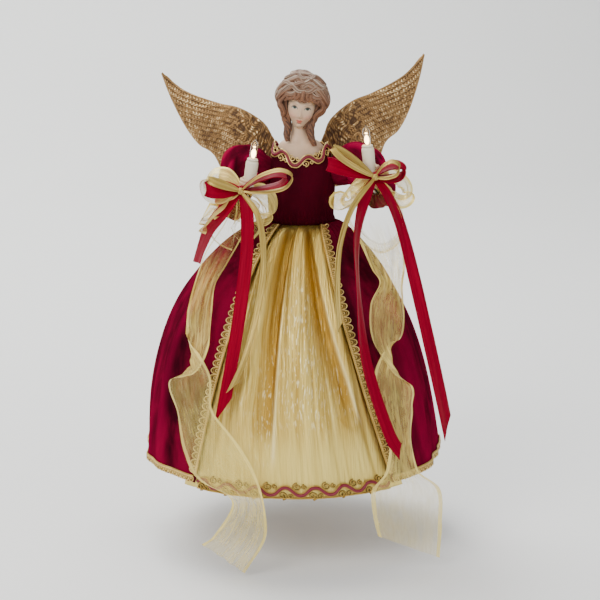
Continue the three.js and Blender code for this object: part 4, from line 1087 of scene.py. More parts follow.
def paint_face(mesh, x, y, z):
    """Painted values of the face, worked out on the same ball as its form."""
    front = smooth(-y, 0.2, 0.45)
    right, up = across_face(x, z)
    layers = dict.fromkeys(("blush", "lips", "brows", "eye_whites", "irises", "lashes"), 0.0)
    for side in (-1, 1):
        dx = right - side * 4.9
        layers["blush"] += 0.4 * bump(right, up, side * 6.0, -4.8, 3.2, 2.4)
        almond = (dx / 2.3) ** 2 + ((up - 1.5) / 1.05) ** 2
        layers["eye_whites"] += (1 - smooth(almond, 0.75, 1.1))
        iris = (dx / 1.3) ** 2 + ((up - 1.6) / 1.15) ** 2
        layers["irises"] += (1 - smooth(iris, 0.7, 1.25)) * (1 - smooth(almond, 0.9, 1.1))
        lid = 2.5 - 0.24 * dx**2
        line = np.exp(-(((up - lid) / 0.55) ** 2)) * (1 - smooth(np.abs(dx), 2.2, 2.7))
        layers["lashes"] += line
        arch = 4.5 - 0.1 * (dx - side * 0.6) ** 2
        brow = np.exp(-(((up - arch) / 0.33) ** 2)) * (1 - smooth(np.abs(dx), 2.2, 3.0))
        layers["brows"] += 0.5 * brow
    upper = 1 - smooth((right / 3.1) ** 2 + ((up + 8.2) / 0.9) ** 2, 0.5, 1.2)
    lower = 1 - smooth((right / 2.5) ** 2 + ((up + 9.6) / 1.05) ** 2, 0.5, 1.2)
    layers["lips"] = np.maximum(upper, lower) * 0.95
    for name, value in layers.items():
        attribute = mesh.attributes.new(name, "FLOAT", "POINT")
        whole = np.clip(np.broadcast_to(value, x.shape) * front, 0, 1)
        attribute.data.foreach_set("value", whole.astype(np.float32))


def make_head():
    bpy.ops.mesh.primitive_uv_sphere_add(segments=200, ring_count=150, radius=1.0)
    head = bpy.context.object
    head.name = "head_casting"
    ball = np.zeros(len(head.data.vertices) * 3)
    head.data.vertices.foreach_get("co", ball)
    x, y, z = ball.reshape(-1, 3).T
    paint_face(head.data, x, y, z)
    shaped = on_head(sculpt_head(x, y, z)) * MM
    head.data.vertices.foreach_set("co", shaped.ravel())
    head.data.update()
    sections = [
        (216, 20.5, 13.4),
        (224, 19.8, 12.4),
        (232.4, 18, 11.2),
        (236.7, 15.2, 9.8),
        (240.2, 10.4, 7.9),
        (244, 7.0, 6.3),
        (248, 5.4, 5.6),
        (252, 5.2, 5.4),
        (257, 5.6, 5.6),
    ]
    rings = spline(sections, np.linspace(0, 1, 60))
    turn = np.linspace(0, TAU, 97)[None, :-1]
    heights, wide, deep = (rings[:, k][:, None] for k in range(3))
    forward = 1.2 * smooth(heights, 228, 252)
    hollow = -0.5 * bump(np.sin(turn) * wide, heights, 0, 238, 2.2, 3.0) * (np.cos(turn) > 0)
    bones = sum(
        0.5 * bump(np.sin(turn) * wide, heights, side * 7.0, 236.5, 5.0, 1.0) * (np.cos(turn) > 0)
        for side in (-1, 1)
    )
    deep = deep + hollow + bones
    places = stacked(wide * np.sin(turn) - 1.5 * forward, -deep * np.cos(turn) - forward, heights)
    form = Form()
    form.add(places, capped_faces(*places.shape[:2]))
    neck = form.build("neck_form", [])
    face_outwards(neck)
    cut_or_join(head, neck, "UNION")
    finish_rigid(head, [FINISHES["bisque"]], 60)
    settle(head, "figure", "bisque", "head_bust")


def lock(form, points, radius, flat=0.7, shine=1.0, steps=30, on=True):
    """One moulded lock of hair, tapered at both ends and combed into strands along its length."""
    line = even_spline(np.asarray(points, float), steps)
    share = np.linspace(0, 1, steps)
    swell = radius * np.sqrt(np.clip(np.sin(math.pi * np.clip(share * 0.86 + 0.09, 0, 1)), 0.05, 1))
    turned = on_head(line) if on else line
    turn = np.arange(LOCK_SIDES) * TAU / LOCK_SIDES
    middle = on_head(np.array([[1.2, 4.0, 5.0]]))[0]
    out = unit(turned - middle)
    _, first, second = frames_along(turned)
    ring = first[:, None] * np.cos(turn)[None, :, None] + second[:, None] * np.sin(turn)[None, :, None]
    outward = np.einsum("ijk,ik->ij", ring, out)
    ridge = np.cos(6 * turn + 3.0 * share[:, None])
    groove = 1 + 0.13 * ridge
    lean = turned[:, 2:3] - HEAD_CENTRE[2]
    seed = len(form.points)
    speck = soft_noise(share[:, None] * 6, turn[None, :] * 1.6, seed + 3)
    rise = smooth(np.broadcast_to(lean, outward.shape), 0, 17)
    frost = 1.1 * shine * smooth(outward, 0.1, 0.95) * rise * (0.75 + 0.6 * speck) * (0.75 + 0.35 * ridge)
    frost = np.clip(frost, 0, 1)
    # Painted shade on the inward sides of the lock and in its grooves
    hollow = np.clip(0.95 - 0.95 * smooth(outward, -0.45, 0.5) + 0.65 * smooth(-ridge, 0.2, 1.0), 0, 1)
    flattened = ring * groove[..., None]
    along_out = np.einsum("ijk,ik->ij", flattened, out)[..., None] * out[:, None, :]
    flattened = flattened - along_out * (1 - flat)
    places = turned[:, None] + flattened * swell[:, None, None]
    uvs = stacked(turn[None, :] * radius + 7.3 * seed, run_along(turned)[:, None]) * MM
    faces = capped_faces(steps, LOCK_SIDES, foot_out=True)
    # Painted highlight on the upper, outer side of the lock
    gleam = np.clip(0.8 * shine * rise * smooth(outward, 0.2, 0.8), 0, 0.8)
    form.add(places, faces, uvs, frost=frost, hollow=hollow, combed=0.8, gleam=gleam)


# Ringlets from behind each ear down to the shoulder
RINGLETS = [
    [(-13.6, -2.5, 262), (-11.4, -5.2, 255), (-9.8, -7.0, 249), (-10.8, -8.6, 243.5), (-10.0, -10.0, 239)],
    [
        (13.2, -2.5, 261),
        (10.6, -5.2, 256.5),
        (7.4, -7.2, 251.5),
        (6.9, -8.6, 246.5),
        (8.2, -9.8, 240.5),
        (10.4, -10.6, 235.5),
    ],
]


def hair_dome(wide, high, out=0.0):
    """A place on the swept-up hair, round from the front and up from its middle, in the head's own frame."""
    wide, high, out = same_shape(wide, high, out)
    x, y, z = np.cos(high) * np.sin(wide), -np.cos(high) * np.cos(wide), np.sin(high)
    full = 1 + 0.04 * np.sin(2 * np.clip(high, 0, math.pi / 2)) ** 2
    low = 1 - 0.3 * smooth(-z, 0.1, 1)
    puffed = 1 + 0.09 * np.exp(-(((z - 0.1) / 0.35) ** 2)) * smooth(np.abs(x), 0.3, 0.8)
    return np.stack(
        [x * (16.9 + out) * low * puffed * full - 0.6, y * (15.2 + out) * full + 2.8, z * (18.6 + out) * full + 5.0],
        axis=-1,
    )


def make_hair():
    form = Form()
    wide = np.linspace(-math.pi, math.pi, 181)[None, :-1]
    high = np.linspace(-math.pi / 2 + 0.02, math.pi / 2 - 0.02, 100)[:, None]
    x, y, z = np.broadcast_arrays(np.cos(high) * np.sin(wide), -np.cos(high) * np.cos(wide), np.sin(high))
    side = np.abs(wide)
    drift = 0.9 * soft_noise(wide * 2.2 + 7, high * 2.6, 41) + 0.4 * soft_noise(wide * 6, high * 6, 42)
    swirl = 1.5 * np.sin(2.3 * high + 0.9 * side) + 0.9 * np.sin(4.6 * high - 1.7 * side) + drift
    strands = np.abs(np.sin(9 * side + 2.6 * swirl)) ** 0.65
    comb = 0.9 * strands - 1.2
    window = smooth(-y, 0.05, 0.4) * (1 - smooth(z + 0.1 * np.abs(x), 0.16, 0.32)) * (1 - smooth(np.abs(x), 0.66, 0.84))
    cap = hair_dome(wide, high, comb * (1 - window))
    cap = lerp(np.array([0, 2.8, 5.0]), cap, (1 - 0.34 * window)[..., None])
    rise = smooth(cap[..., 2], 8, 24)
    frost = np.clip(smooth(strands, 0.3, 1.0) * rise * (0.6 + 0.4 * drift), 0, 0.8)
    # Painted shade over the cap, deeper between the strands
    hollow = np.clip(0.8 - 0.4 * strands, 0, 1)
    uvs = stacked(high * 17, wide * 17) * MM
    cap = on_head(cap.reshape(-1, 3)).reshape(cap.shape)
    form.grid(cap, uvs, closed=True, frost=frost, hollow=hollow, combed=0.6, gleam=0)

    # The wound knot at the crown
    wound = np.abs(np.sin(3.6 * high + 1.2 * np.sin(wide + 0.6) + 0.6 * drift)) ** 0.6
    knot = 1 + 0.12 * (wound - 0.6) + 0.04 * np.sin(9 * high + 3 * np.sin(wide))
    crown = np.stack([x * 10.2 * knot - 3.0, y * 9.4 * knot + 2.6, z * 5.6 * knot + 21.6], axis=-1)
    pale = np.clip(smooth(wound, 0.3, 1.0) * (0.7 + 0.3 * drift), 0, 0.85)
    uvs = stacked(high * 8, wide * 9) * MM
    # Painted shade in the knot's grooves
    form.grid(
        on_head(crown.reshape(-1, 3)).reshape(crown.shape)[::2, ::2],
        uvs[::2, ::2],
        closed=True,
        frost=pale[::2, ::2],
        hollow=(0.85 - 0.85 * wound)[::2, ::2],
        combed=0.7,
        gleam=0.6,
    )

    chance = np.random.default_rng(61)
    t = np.linspace(0, 1, 11)
    bow = np.sin(math.pi * t)
    for turn in (-1, 1):
        # Locks swept out from the parting over the temples, each lying on the one below
        for k in range(11):
            lift = k / 10
            wave = 0.11 * np.sin(t * TAU * 1.7 + 2.1 * k + chance.uniform(-0.6, 0.6)) * np.sqrt(bow)
            round_from = turn * (-0.16 + (1.5 + 0.7 * lift) * t) + 0.06 * (1 - lift)
            up = lerp(0.4, 1.3, lift) + (0.34 - 0.22 * lift) * bow - (0.66 - 0.4 * lift) * t + wave
            out = 0.1 + 1.1 * bow + (0.9 if k % 2 else -0.5) + chance.uniform(-0.4, 0.4)
            lock(form, hair_dome(round_from, up, out), 2.1 + chance.uniform(-0.3, 0.3), flat=0.85, shine=1.0, steps=38)
        for k in range(5):
            lift = (k + 0.5) / 5
            wave = 0.13 * np.sin(t * TAU * 1.5 + 1.3 * k + chance.uniform(-0.8, 0.8)) * np.sqrt(bow)
            round_from = turn * (-0.08 + (1.3 + 0.6 * lift) * t)
            up = lerp(0.5, 1.2, lift) + (0.3 - 0.2 * lift) * bow - (0.6 - 0.4 * lift) * t + wave
            lock(form, hair_dome(round_from, up, 1.3 + 0.8 * bow), 1.25, flat=0.8, shine=1.0, steps=38)

        # Waved locks drawn up the sides and the back to the knot
        for k in range(7):
            wave = 0.14 * np.sin(t * TAU * 1.4 + 1.3 * k)
            round_from = turn * (1.35 + 0.28 * k + 0.2 * t + wave)
            up = -0.5 + (1.5 + 0.03 * k) * t + 0.08 * np.sin(t * TAU + 2 * k)
            lock(form, hair_dome(round_from, up, 0.4 + 0.8 * bow), 2.5, flat=0.6, shine=0.9, steps=38)

        # Curls of the fringe, each turned out at its tip
        for k, tip in enumerate((7.6, 8.8, 8.4, 7.2, 5.6)):
            across = 1.0 + 2.8 * k
            depth = -14.1 + 0.085 * across**1.7
            points = [
                (turn * (across * 0.85 - 0.4), depth + 1.2, 15.4 - 0.5 * k),
                (turn * (across - 0.8), depth - 0.7, 12.8 - 0.4 * k),
                (turn * (across - 0.6), depth - 0.5, tip + 1.8),
                (turn * (across + 0.7), depth, tip),
                (turn * (across + 2.3), depth + 0.6, tip + 0.9),
                (turn * (across + 2.8), depth + 0.9, tip + 2.2),
            ]
            lock(form, points, 1.45, flat=0.75, shine=0.15, steps=28)

        # Curls that fall beside the cheeks and run into the ringlet
        def tucked(points):
            points = np.array(points)
            points[:, 0] -= 0.5 * turn + (0.15 if turn > 0 else -0.03) * np.maximum(6 - points[:, 2], 0)
            return points

        for k in range(5):
            sway = chance.uniform(-0.6, 0.6)
            points = [
                (turn * (12.2 + 1.0 * k), -8.6 + 2.2 * k, 10.5 - 0.4 * k),
                (turn * (14.8 + 0.8 * k + sway), -8.2 + 2.1 * k, 6.8 - 0.8 * k),
                (turn * (16.6 + 0.4 * k), -6.6 + 2.0 * k, 2.8 - 1.0 * k),
                (turn * (14.4 + 0.4 * k - sway), -6.8 + 2.0 * k, -0.8 - 0.9 * k),
                (turn * (12.6 + 0.4 * k), -6.4 + 2.0 * k, -4.4 - 0.6 * k),
                (turn * (13.4 + 0.2 * k + sway), -5.6 + 2.0 * k, -8.4),
            ]
            lock(form, tucked(points), 1.9 - 0.06 * k, flat=0.85, shine=0.5, steps=36)
        for k in range(3):
            points = [
                (turn * (12.2 + 0.5 * k), -5.6 + 2.2 * k, 7.0),
                (turn * (12.8 + 0.5 * k), -5.2 + 2.2 * k, 2.0),
                (turn * (11.8 + 0.6 * k), -5.0 + 2.2 * k, -3.0),
                (turn * (9.2 + 0.8 * k), -5.2 + 2.2 * k, -9.0),
                (turn * (8.0 + 0.8 * k), -5.2 + 2.0 * k, -15.0),
            ]
            lock(form, tucked(points), 2.0, flat=0.8, shine=0.2, steps=30)

    # Ringlets that hug the neck and lie on the shoulders
    for points in RINGLETS:
        centre = even_spline(np.array(points, float), 25)
        share = np.linspace(0, 1, 25)
        for strand in range(4):
            angle = share * TAU * 1.6 + strand * TAU / 4
            spread = 1.55 * (1 - 0.45 * share)
            offset = np.stack([spread * np.cos(angle), spread * np.sin(angle), 0 * angle], axis=1)
            lock(form, centre + offset, 2.0, flat=0.95, shine=0.2, steps=46, on=False)
    hair = form.build("hair_casting", [FINISHES["hair"]])
    face_outwards(hair)
    settle(hair, "figure", "hair", "hair")


# Wings

# Upper and lower edge of a wing, out from its root and up
WING_UPPER = [(-2, 2), (10.7, 25.5), (18, 39), (34.8, 50.9), (52.2, 56.3), (76.1, 67), (92.7, 82)]
WING_LOWER = [(-2, -14), (26, -13), (48, -5), (58.6, 16.2), (69.6, 25.1), (79, 40), (88, 62), (93.6, 81)]


def feathers(share, down, width):
    """Relief from 0 to 1: short flecked feathers by the root, long barbed ones towards the tip."""
    along = share * 128.0
    rows = down * width / 3.9 + 0.5 * np.sin(share * 5)
    off = np.abs(rows - np.floor(rows) - 0.5) * 2
    barb = 0.5 + 0.5 * np.sin(TAU * (along * 0.52 - off * 0.75))
    long_ones = (1 - 0.6 * off**5) * (0.36 + 0.6 * barb) + 0.1 * np.exp(-((off / 0.12) ** 2))
    long_ones = long_ones * (1 - 0.35 * smooth(off, 0.8, 1.0))
    stray = soft_noise(along / 6.0, down * 8, 51)
    course = along / 4.0 + 0.6 * np.sin(down * 6) + 0.9 * stray
    row = np.floor(course)
    ahead = course - row
    cell = down * width / 2.1 + 0.5 * (row % 2) + 0.7 * ahead + 0.6 * stray
    place = np.floor(cell)
    off_cell = np.abs(cell - place - 0.5) * 2
    fleck = np.random.default_rng(53).uniform(0.15, 1.0, (97, 89))[row.astype(int) % 97, place.astype(int) % 89]
    small = np.clip(1 - off_cell**2, 0, 1) * np.sin(math.pi * ahead) ** 0.7 * fleck
    small = 0.12 + small + 0.16 * (0.5 + 0.5 * np.sin(TAU * (cell * 2.0 + ahead * 0.8)))
    near = 1 - smooth(share * 0.95 + down * 0.5 + 0.12 * stray, 0.5, 0.66)
    rim = np.exp(-((np.minimum(down, 1 - down) * width / 1.1) ** 2))
    wear_and_painted_light = 0.75 + 0.4 * soft_noise(along / 2.2, down * 22, 52)
    return np.clip(lerp(long_ones, small, near) * wear_and_painted_light * (1 - 0.7 * rim) + 0.5 * rim, 0, 1)


def make_wings():
    share = np.linspace(0, 1, 360)
    upper, lower = spline(WING_UPPER, share), spline(WING_LOWER, share)
    down = np.linspace(0, 1, 130)[None, :]
    flat = lerp(upper[:, None, :], lower[:, None, :], down[..., None])
    width = np.linalg.norm(upper - lower, axis=1)[:, None]
    along = share[:, None]
    relief = feathers(along, down, width)
    edge = np.sin(math.pi * down)
    cup = -3.5 * edge * np.sin(math.pi * along)
    for side, name, lift in ((-1, "right", -4.5), (1, "left", 4.5)):
        turn = math.radians(lift)
        x = flat[..., 0] * math.cos(turn) - flat[..., 1] * math.sin(turn)
        z = flat[..., 0] * math.sin(turn) + flat[..., 1] * math.cos(turn)
        ripple = 0.8 * np.sin(along * 16 + down * 3) * smooth(along, 0.3, 1.0) * edge
        raised = look().wing_relief * 1000 * relief * smooth(along, 0.0, 0.06)
        back = 21.6 + 0.15 * np.maximum(x, 0) + cup + ripple - raised
        places = np.stack([side * (8 + x), back, 212 + z], axis=-1)
        form = Form()
        form.grid(places, relief=relief)
        wing = form.build(f"{name}_wing_foil", [FINISHES["foil"]])
        facing_out(wing, (side * 60, 400, 250))
        thicken(wing, 0.5)
        settle(wing, "figure", "foil", f"{name}_wing")


# Arms


def make_sleeves():
    for name, arm in ARMS.items():
        centre = np.array([arm["side"] * SHOULDER[0], 0, SHOULDER[2]], float)
        out = unit(np.array(arm["puff"], float) - centre)
        bends = [arm[key] for key in ("puff", "elbow", "forearm", "wrist")]
        t = np.linspace(0, 1, 110)
        line = spline([centre - 10 * out, centre, *bends], t)
        radius = spline([8.3, 12.4, 15.6, 12.6, 10.9, 6.6], t)[:, 0]
        _, first, second = frames_along(line)
        turn = np.linspace(0, TAU, 97)[None, :-1]
        down = t[:, None]
        folds = 0.9 * np.sin(3 * turn + 15 * down + 0.5) + 0.9 * np.sin(5 * turn - 21 * down + 1.7)
        folds = folds + 0.5 * np.sin(9 * turn + 34 * down + 2.2) + 0.3 * np.sin(14 * turn - 12 * down)
        window = smooth(down, 0.26, 0.42) * (1 - smooth(down, 0.84, 1.0))
        gathers = 0.6 * np.sin(18 * turn) * np.exp(-(((down - 0.27) / 0.05) ** 2))
        cuff = 0.5 * np.sin(13 * turn) * smooth(down, 0.82, 0.97)
        size = radius[:, None] + window * folds * look().sleeve_folds * 1000 + gathers + cuff
        ring = first[:, None] * np.cos(turn)[..., None] + second[:, None] * np.sin(turn)[..., None]
        places = line[:, None] + ring * size[..., None]
        form = Form()
        # Painted highlight along the ridges of the sleeve's folds
        crest = 0.85 * smooth(folds, 0.1, 1.6) * window
        form.grid(places, cloth_uvs(places), closed=True, crest=crest)
        sleeve = form.build(f"{name}_sleeve_cloth", [FINISHES["velvet"]])
        facing_out(sleeve, arm["elbow"])
        thicken(sleeve, 0.8)
        settle(sleeve, f"{name}_arm", "velvet", f"{name}_sleeve")


def lamp_frame(arm):
    lean = math.radians(arm["lean"])
    turn = np.array([[math.cos(lean), 0, math.sin(lean)], [0, 1, 0], [-math.sin(lean), 0, math.cos(lean)]])
    foot = np.array(arm["foot"], float)
    return lambda points: np.asarray(points, float) @ turn.T + foot


def make_hands():
    for name, arm in ARMS.items():
        place = lamp_frame(arm)
        back = np.array(arm["wrist"], float) - np.array(arm["foot"], float)
        back[2] = 0
        back = unit(back)
        palm = np.array([0, 0, 6.0]) + back * 7.8
        facing = math.atan2(palm[1], palm[0])
        form = Form()

        def finger(height, start, end, radius, drop):
            angle = facing + np.radians(np.linspace(start, end, 22))
            share = np.linspace(0, 1, 22)
            reach = 6.1 + 0.35 * np.sin(share * TAU * 1.5)
            line = np.stack([reach * np.cos(angle), reach * np.sin(angle), height - drop * share], axis=1)
            tip = np.sqrt(np.clip(1 - smooth(share, 0.86, 1.0) * 0.9, 0.05, 1))
            size = radius * (1 - 0.2 * share) * tip * (1 + 0.06 * np.cos(share * TAU * 3))
            form.tube(place(line), size, 14)

        for k, height in enumerate((2.3, 4.7, 7.1, 9.5)):
            finger(height, 10, 196 - 9 * k, 1.3 - 0.05 * abs(k - 2), 0.4)
        finger(8.4, -12, -118, 1.45, -1.6)
        wide = np.linspace(0, TAU, 33)[None, :-1]
        high = np.linspace(-math.pi / 2 + 0.03, math.pi / 2 - 0.03, 18)[:, None]
        ball = stacked(
            np.cos(high) * np.cos(wide) * 3.4, np.cos(high) * np.sin(wide) * 4.2, np.sin(high) * 5.6
        )
        spin = np.array([[math.cos(facing), -math.sin(facing), 0], [math.sin(facing), math.cos(facing), 0], [0, 0, 1]])
        form.add(place(ball.reshape(-1, 3) @ spin.T + palm), capped_faces(*ball.shape[:2]))
        wrist = np.linspace(place(palm[None])[0], np.array(arm["wrist"], float), 12)
        form.tube(wrist, np.linspace(3.4, 2.9, 12), 20)
        hand = form.build(f"{name}_hand_casting", [])
        face_outwards(hand)
        merge = hand.modifiers.new("One casting", "REMESH")
        merge.mode = "VOXEL"
        merge.voxel_size = 0.34 * MM
        merge.use_smooth_shade = True
        soften = hand.modifiers.new("Softened", "SMOOTH")
        soften.factor = 0.5
        soften.iterations = 3
        apply_modifiers(hand)
        finish_rigid(hand, [FINISHES["bisque"]], 70)
        settle(hand, f"{name}_arm", "bisque", f"{name}_hand")


# Lamps

LAMP_SIDES = 64


def turned_piece(name, profile, finish):
    """A piece turned on its own axis: a ring drawn up step by step through radius and height."""
    radius, height = profile[0]
    bpy.ops.mesh.primitive_circle_add(
        vertices=LAMP_SIDES, radius=radius * MM, fill_type="NGON", location=(0, 0, height * MM)
    )
    made = bpy.context.object
    made.name = name
    bpy.ops.object.transform_apply(location=True)
    bpy.ops.object.mode_set(mode="EDIT")
    bpy.ops.mesh.select_all(action="SELECT")
    for (old_radius, old_height), (new_radius, new_height) in zip(profile, profile[1:]):
        step = (0, 0, (new_height - old_height) * MM)
        bpy.ops.mesh.extrude_region_move(TRANSFORM_OT_translate={"value": step})
        scale = new_radius / old_radius
        bpy.ops.transform.resize(value=(scale, scale, 1), center_override=(0, 0, new_height * MM))
    bpy.ops.mesh.select_all(action="SELECT")
    bpy.ops.mesh.normals_make_consistent(inside=False)
    bpy.ops.object.mode_set(mode="OBJECT")
    made.data.materials.append(finish)
    return made


def rounded(made, width, segments=3, angle=25):
    bevel = made.modifiers.new("Rounded", "BEVEL")
    bevel.width = width * MM
    bevel.segments = segments
    bevel.limit_method = "ANGLE"
    bevel.angle_limit = math.radians(angle)
    apply_modifiers(made)


def make_lamps():
    holder = turned_piece(
        "lamp_holder",
        [(2.9, 0), (3.7, 0.8), (3.7, 7.0), (4.4, 8.5), (4.6, 21.6), (4.55, 22.6), (4.2, 23.5), (3.7, 24.0), (3.3, 24.0)]
        + [(3.3, 9.2)],
        FINISHES["white_plastic"],
    )
    rounded(holder, 0.25)
    base = turned_piece(
        "bulb_base",
        [(2.05, 11.35), (2.95, 14.35), (2.95, 24.35), (4.1, 24.35), (4.05, 25.0), (3.6, 25.75), (2.45, 25.75)]
        + [(2.45, 20.6)],
        FINISHES["white_plastic"],
    )
    rounded(base, 0.2)
    bulb = turned_piece(
        "bulb",
        [(2.0, 20.75), (2.1, 26.1), (2.5, 26.9), (2.75, 27.9), (2.75, 34.7), (2.6, 35.9), (2.26, 36.9), (1.7, 37.9)]
        + [(1.0, 38.7), (0.6, 39.4), (0.35, 40.0), (0.05, 40.25)],
        FINISHES["lamp_glass"],
    )
    thicken(bulb, 0.3)
    form = Form()
    rise = np.linspace(0, 1, 24)
    body = 1.75 * np.sqrt(np.clip(np.sin(math.pi * (rise * 0.92 + 0.06)), 0.02, 1))
    form.tube(np.stack([0 * rise, 0 * rise, 26.2 + 6.6 * rise], axis=1), body, 24)
    coil = np.linspace(0, 1, 60)
    angle = coil * TAU * 7
    form.tube(np.stack([-0.9 + 1.8 * coil, 0.35 * np.cos(angle), 34.2 + 0.35 * np.sin(angle)], axis=1), 0.16, 6)
    for sign in (-1, 1):
        form.tube(np.array([[sign * 0.7, 0, 26.0], [sign * 0.9, 0, 30.0], [sign * 0.9, 0, 34.2]]), 0.18, 6, slot=1)
    light = form.build("Filament", [FINISHES["filament_glow"], FINISHES["wire"]])
    for name, arm in ARMS.items():
        lean = Matrix.Translation(Vector(arm["foot"]) * MM) @ Matrix.Rotation(math.radians(arm["lean"]), 4, "Y")
        parts = (
            (holder, "holder_shell", f"{name}_arm", "white_plastic", f"{name}_lamp_holder"),
            (base, "base_plug", f"{name}_bulb_unit", "white_plastic", f"{name}_bulb_base"),
            (bulb, "bulb_glass", f"{name}_bulb_unit", "lamp_glass", f"{name}_bulb"),
            (light, "filament", f"{name}_bulb_unit", "lamp_glass"),
        )
        for master, label, body, slot, *nodes in parts:
            twin = copied(master, f"{name}_{label}")
            twin.data.transform(lean)
            finish_rigid(twin, [], 40)
            settle(twin, body, slot, *nodes)
    for master in (holder, base, bulb, light):
        bpy.data.objects.remove(master, do_unlink=True)


# Ribbons

# Middle of the gown, from side to side, where the tails hang
GOWN_MIDDLE = -8.9
STREAMER_ROWS = 300
STREAMER_COLUMNS = 41

# Loops of each bow: reach, belly and direction of the ribbon's width. Tails: the places that they fall
# through, some with a turn of the ribbon in degrees
BOWS = {
    "right": {
        "satin_loops": [
            ((-25, 0, 1), (0, 3.2, 1.4), (0, 0.15, 1)),
            ((33, -4, 10.5), (-1.5, -1.2, 4.8), (-0.1, 0.85, 0.5)),
        ],
        "satin_tails": [
            [(-39, -75, 196), (-39, -80, 170), (-42, -88, 140), (-48, -97, 100), (-58, -105, 46)],
            [(-54, -69, 198), (-66, -58, 182), (-73, -48, 166), (-78, -41, 150)],
        ],
        "tinsel_loops": [
            ((-23, -1, 8.5), (0.2, 2.2, 0.8), (0, 0.2, 1)),
            ((37, -8, 12), (-2.2, -0.5, 7), (-0.1, 0.85, 0.5)),
        ],
        "tinsel_tails": [[(-31, -80, 194), (-27, -83, 165), (-30, -91, 135), (-40, -103, 95), (-52, -106, 68)]],
    },
    "left": {
        "satin_loops": [
            ((-34, -1.6, 9.5), (0.4, 2.4, 0.2), (0.05, 0.2, 1)),
            ((20, 2, 5), (-1, 2.2, 4.4), (0.05, 0.8, 0.6)),
        ],
        "satin_tails": [
            [
                (45, -70, 202),
                (40, -76, 176, -30),
                (41, -86, 140, -42),
                (47, -98, 90, -10),
                (63, -106, 40),
                (74, -106, 22),
            ],
            [
                (64, -68, 204),
                (73, -65, 182, 12),
                (82, -66, 148, 28),
                (92.3, -66.8, 105, 30),
                (102.3, -62.7, 62, 30),
                (111.4, -57.6, 21, 30),
            ],
        ],
        "tinsel_loops": [
            ((-30.5, -2, 21.5), (0.6, 2.4, 2.4), (0.5, 0.15, 0.84)),
            ((17, -2, 9), (-2, 1, 4.8), (0.05, 0.8, 0.55)),
        ],
        "tinsel_tails": [[(37, -78, 200), (28, -80, 172), (26, -88, 140), (28, -97, 110)]],
    },
}

# Both edges of each streamer: places from the knot, then places on the gown, which are the degrees
# round from the front, the drop from the waist and the lift off the gown
STREAMERS = {
    "right": (
        [
            ((-3, 2.6, -2.6), (3, 2.6, -2.6)),
            ((-12, 4, -24), (3, 3, -28)),
            ((-26, 7, -46), (-10, 5, -54)),
            ((-34, 5, -68), (-20, 3, -72)),
            ((-40, 2, -90), (-22, -4, -94)),
        ],
        [
            ((-49, 72, 9), (-35, 80, 9)),
            ((-42, 77, 15), (-40, 100, 7)),
            ((-30, 96, 14), (-54, 110, 7)),
            ((-27, 121, 15), (-46, 131, 8)),
            ((-18, 141, 15), (-41, 157, 9)),
            ((-12, 165, 13), (-34, 174, 10)),
            ((-10, 189, 6), (-21, 186, 11)),
            ((-10, 215, 4), (-27, 212, 12)),
            ((-18, 243, 2), (-32, 222, 13)),
        ],
    ),
    "left": (
        [
            ((-3, 2.6, -2.6), (3, 2.6, -2.6)),
            ((-12, 4, -18), (10, 5, -12)),
            ((-20, 2, -30), (16, 6, -26)),
            ((-10, 0, -50), (21, 5, -46)),
            ((-2, 0, -68), (23, 4, -66)),
            ((4, -4, -78), (21, 0, -82)),
        ],
        [
            ((41, 52, 10), (61, 66, 12)),
            ((37, 76, 10), (55, 78, 10)),
            ((42, 98, 15), (47, 81, 7)),
            ((51, 112, 14), (36, 98, 8)),
            ((50, 128, 12), (34, 125, 8)),
            ((47, 149, 12), (37, 146, 9)),
            ((48, 173, 12), (34, 168, 10)),
            ((50, 185, 27), (28, 181, 8)),
            ((51, 211, 28), (29, 202, 7)),
            ((50, 238, 28), (31, 217, 7)),
        ],
    ),
}

# Puffs of sheer ribbon behind each knot: reach, belly, direction of the ribbon's width, its half width
# and how much of it is thread
PUFFS = {
    "right": [
        ((-25, 8, 4), (0, 3, 7), (0.2, 0.9, 0.35), 13, 0.6),
        ((-22, 12, -22), (5, 2, 4), (0.3, 0.9, 0.2), 12, 0.6),
        ((-6, 22, -36), (9, 1, 0), (0.9, 0.2, 0.1), 12, 0.14),
        ((21, 8, -18), (3, 1, 6), (0.2, 0.9, 0.3), 12, 0.6),
    ],
    "left": [
        ((-22, 10, -17), (3, 2, 6), (0.2, 0.9, 0.3), 13, 0.6),
        ((24, 12, -14), (2, 2, 6), (0.2, 0.9, 0.3), 12, 0.6),
        ((6, 13, -54), (16, 1, 0), (0.1, 0.98, 0.1), 15, 0.14),
    ],
}


def ribbon_uvs(spot, across, width):
    """Cloth coordinates of a ribbon in metres: over its width, and along its middle."""
    length = run_along(spot[:, spot.shape[1] // 2])
    return stacked((across + 1) / 2 * width * MM, length[:, None] * MM)


def strip(form, places, halves, sides, width, rows, columns, cut=0.0, cup=0.0, ripple=0.0, seed=1, **values):
    """A ribbon through places, each with a half width and the direction of its width."""
    across = np.linspace(-1, 1, columns)[None, :]
    t = np.linspace(0, 1, rows)[:, None] * (1 - cut * (across + 1) / 2)
    flat = t.ravel()
    centre = spline(places, flat)
    tangent = unit(spline(places, np.minimum(flat + 0.004, 1)) - spline(places, np.maximum(flat - 0.004, 0)))
    half = spline(halves, flat)
    side = spline(sides, flat)
    side = unit(side - tangent * np.sum(side * tangent, axis=1, keepdims=True))
    out = np.cross(tangent, side)
    over = np.broadcast_to(across, t.shape).ravel()[:, None]
    wave = ripple * np.sin(over * 5.5 + flat[:, None] * 9 + seed) * np.sin(math.pi * flat[:, None]) ** 0.3
    wave = wave + 0.6 * ripple * soft_noise(over[:, 0] * 2.2 + 9, flat * 11, seed)[:, None]
    spot = centre + side * half * over + out * (cup * (over**2 - 0.4) + wave)
    spot = spot.reshape(rows, columns, 3)
    form.grid(spot, ribbon_uvs(spot, across, width), **values)


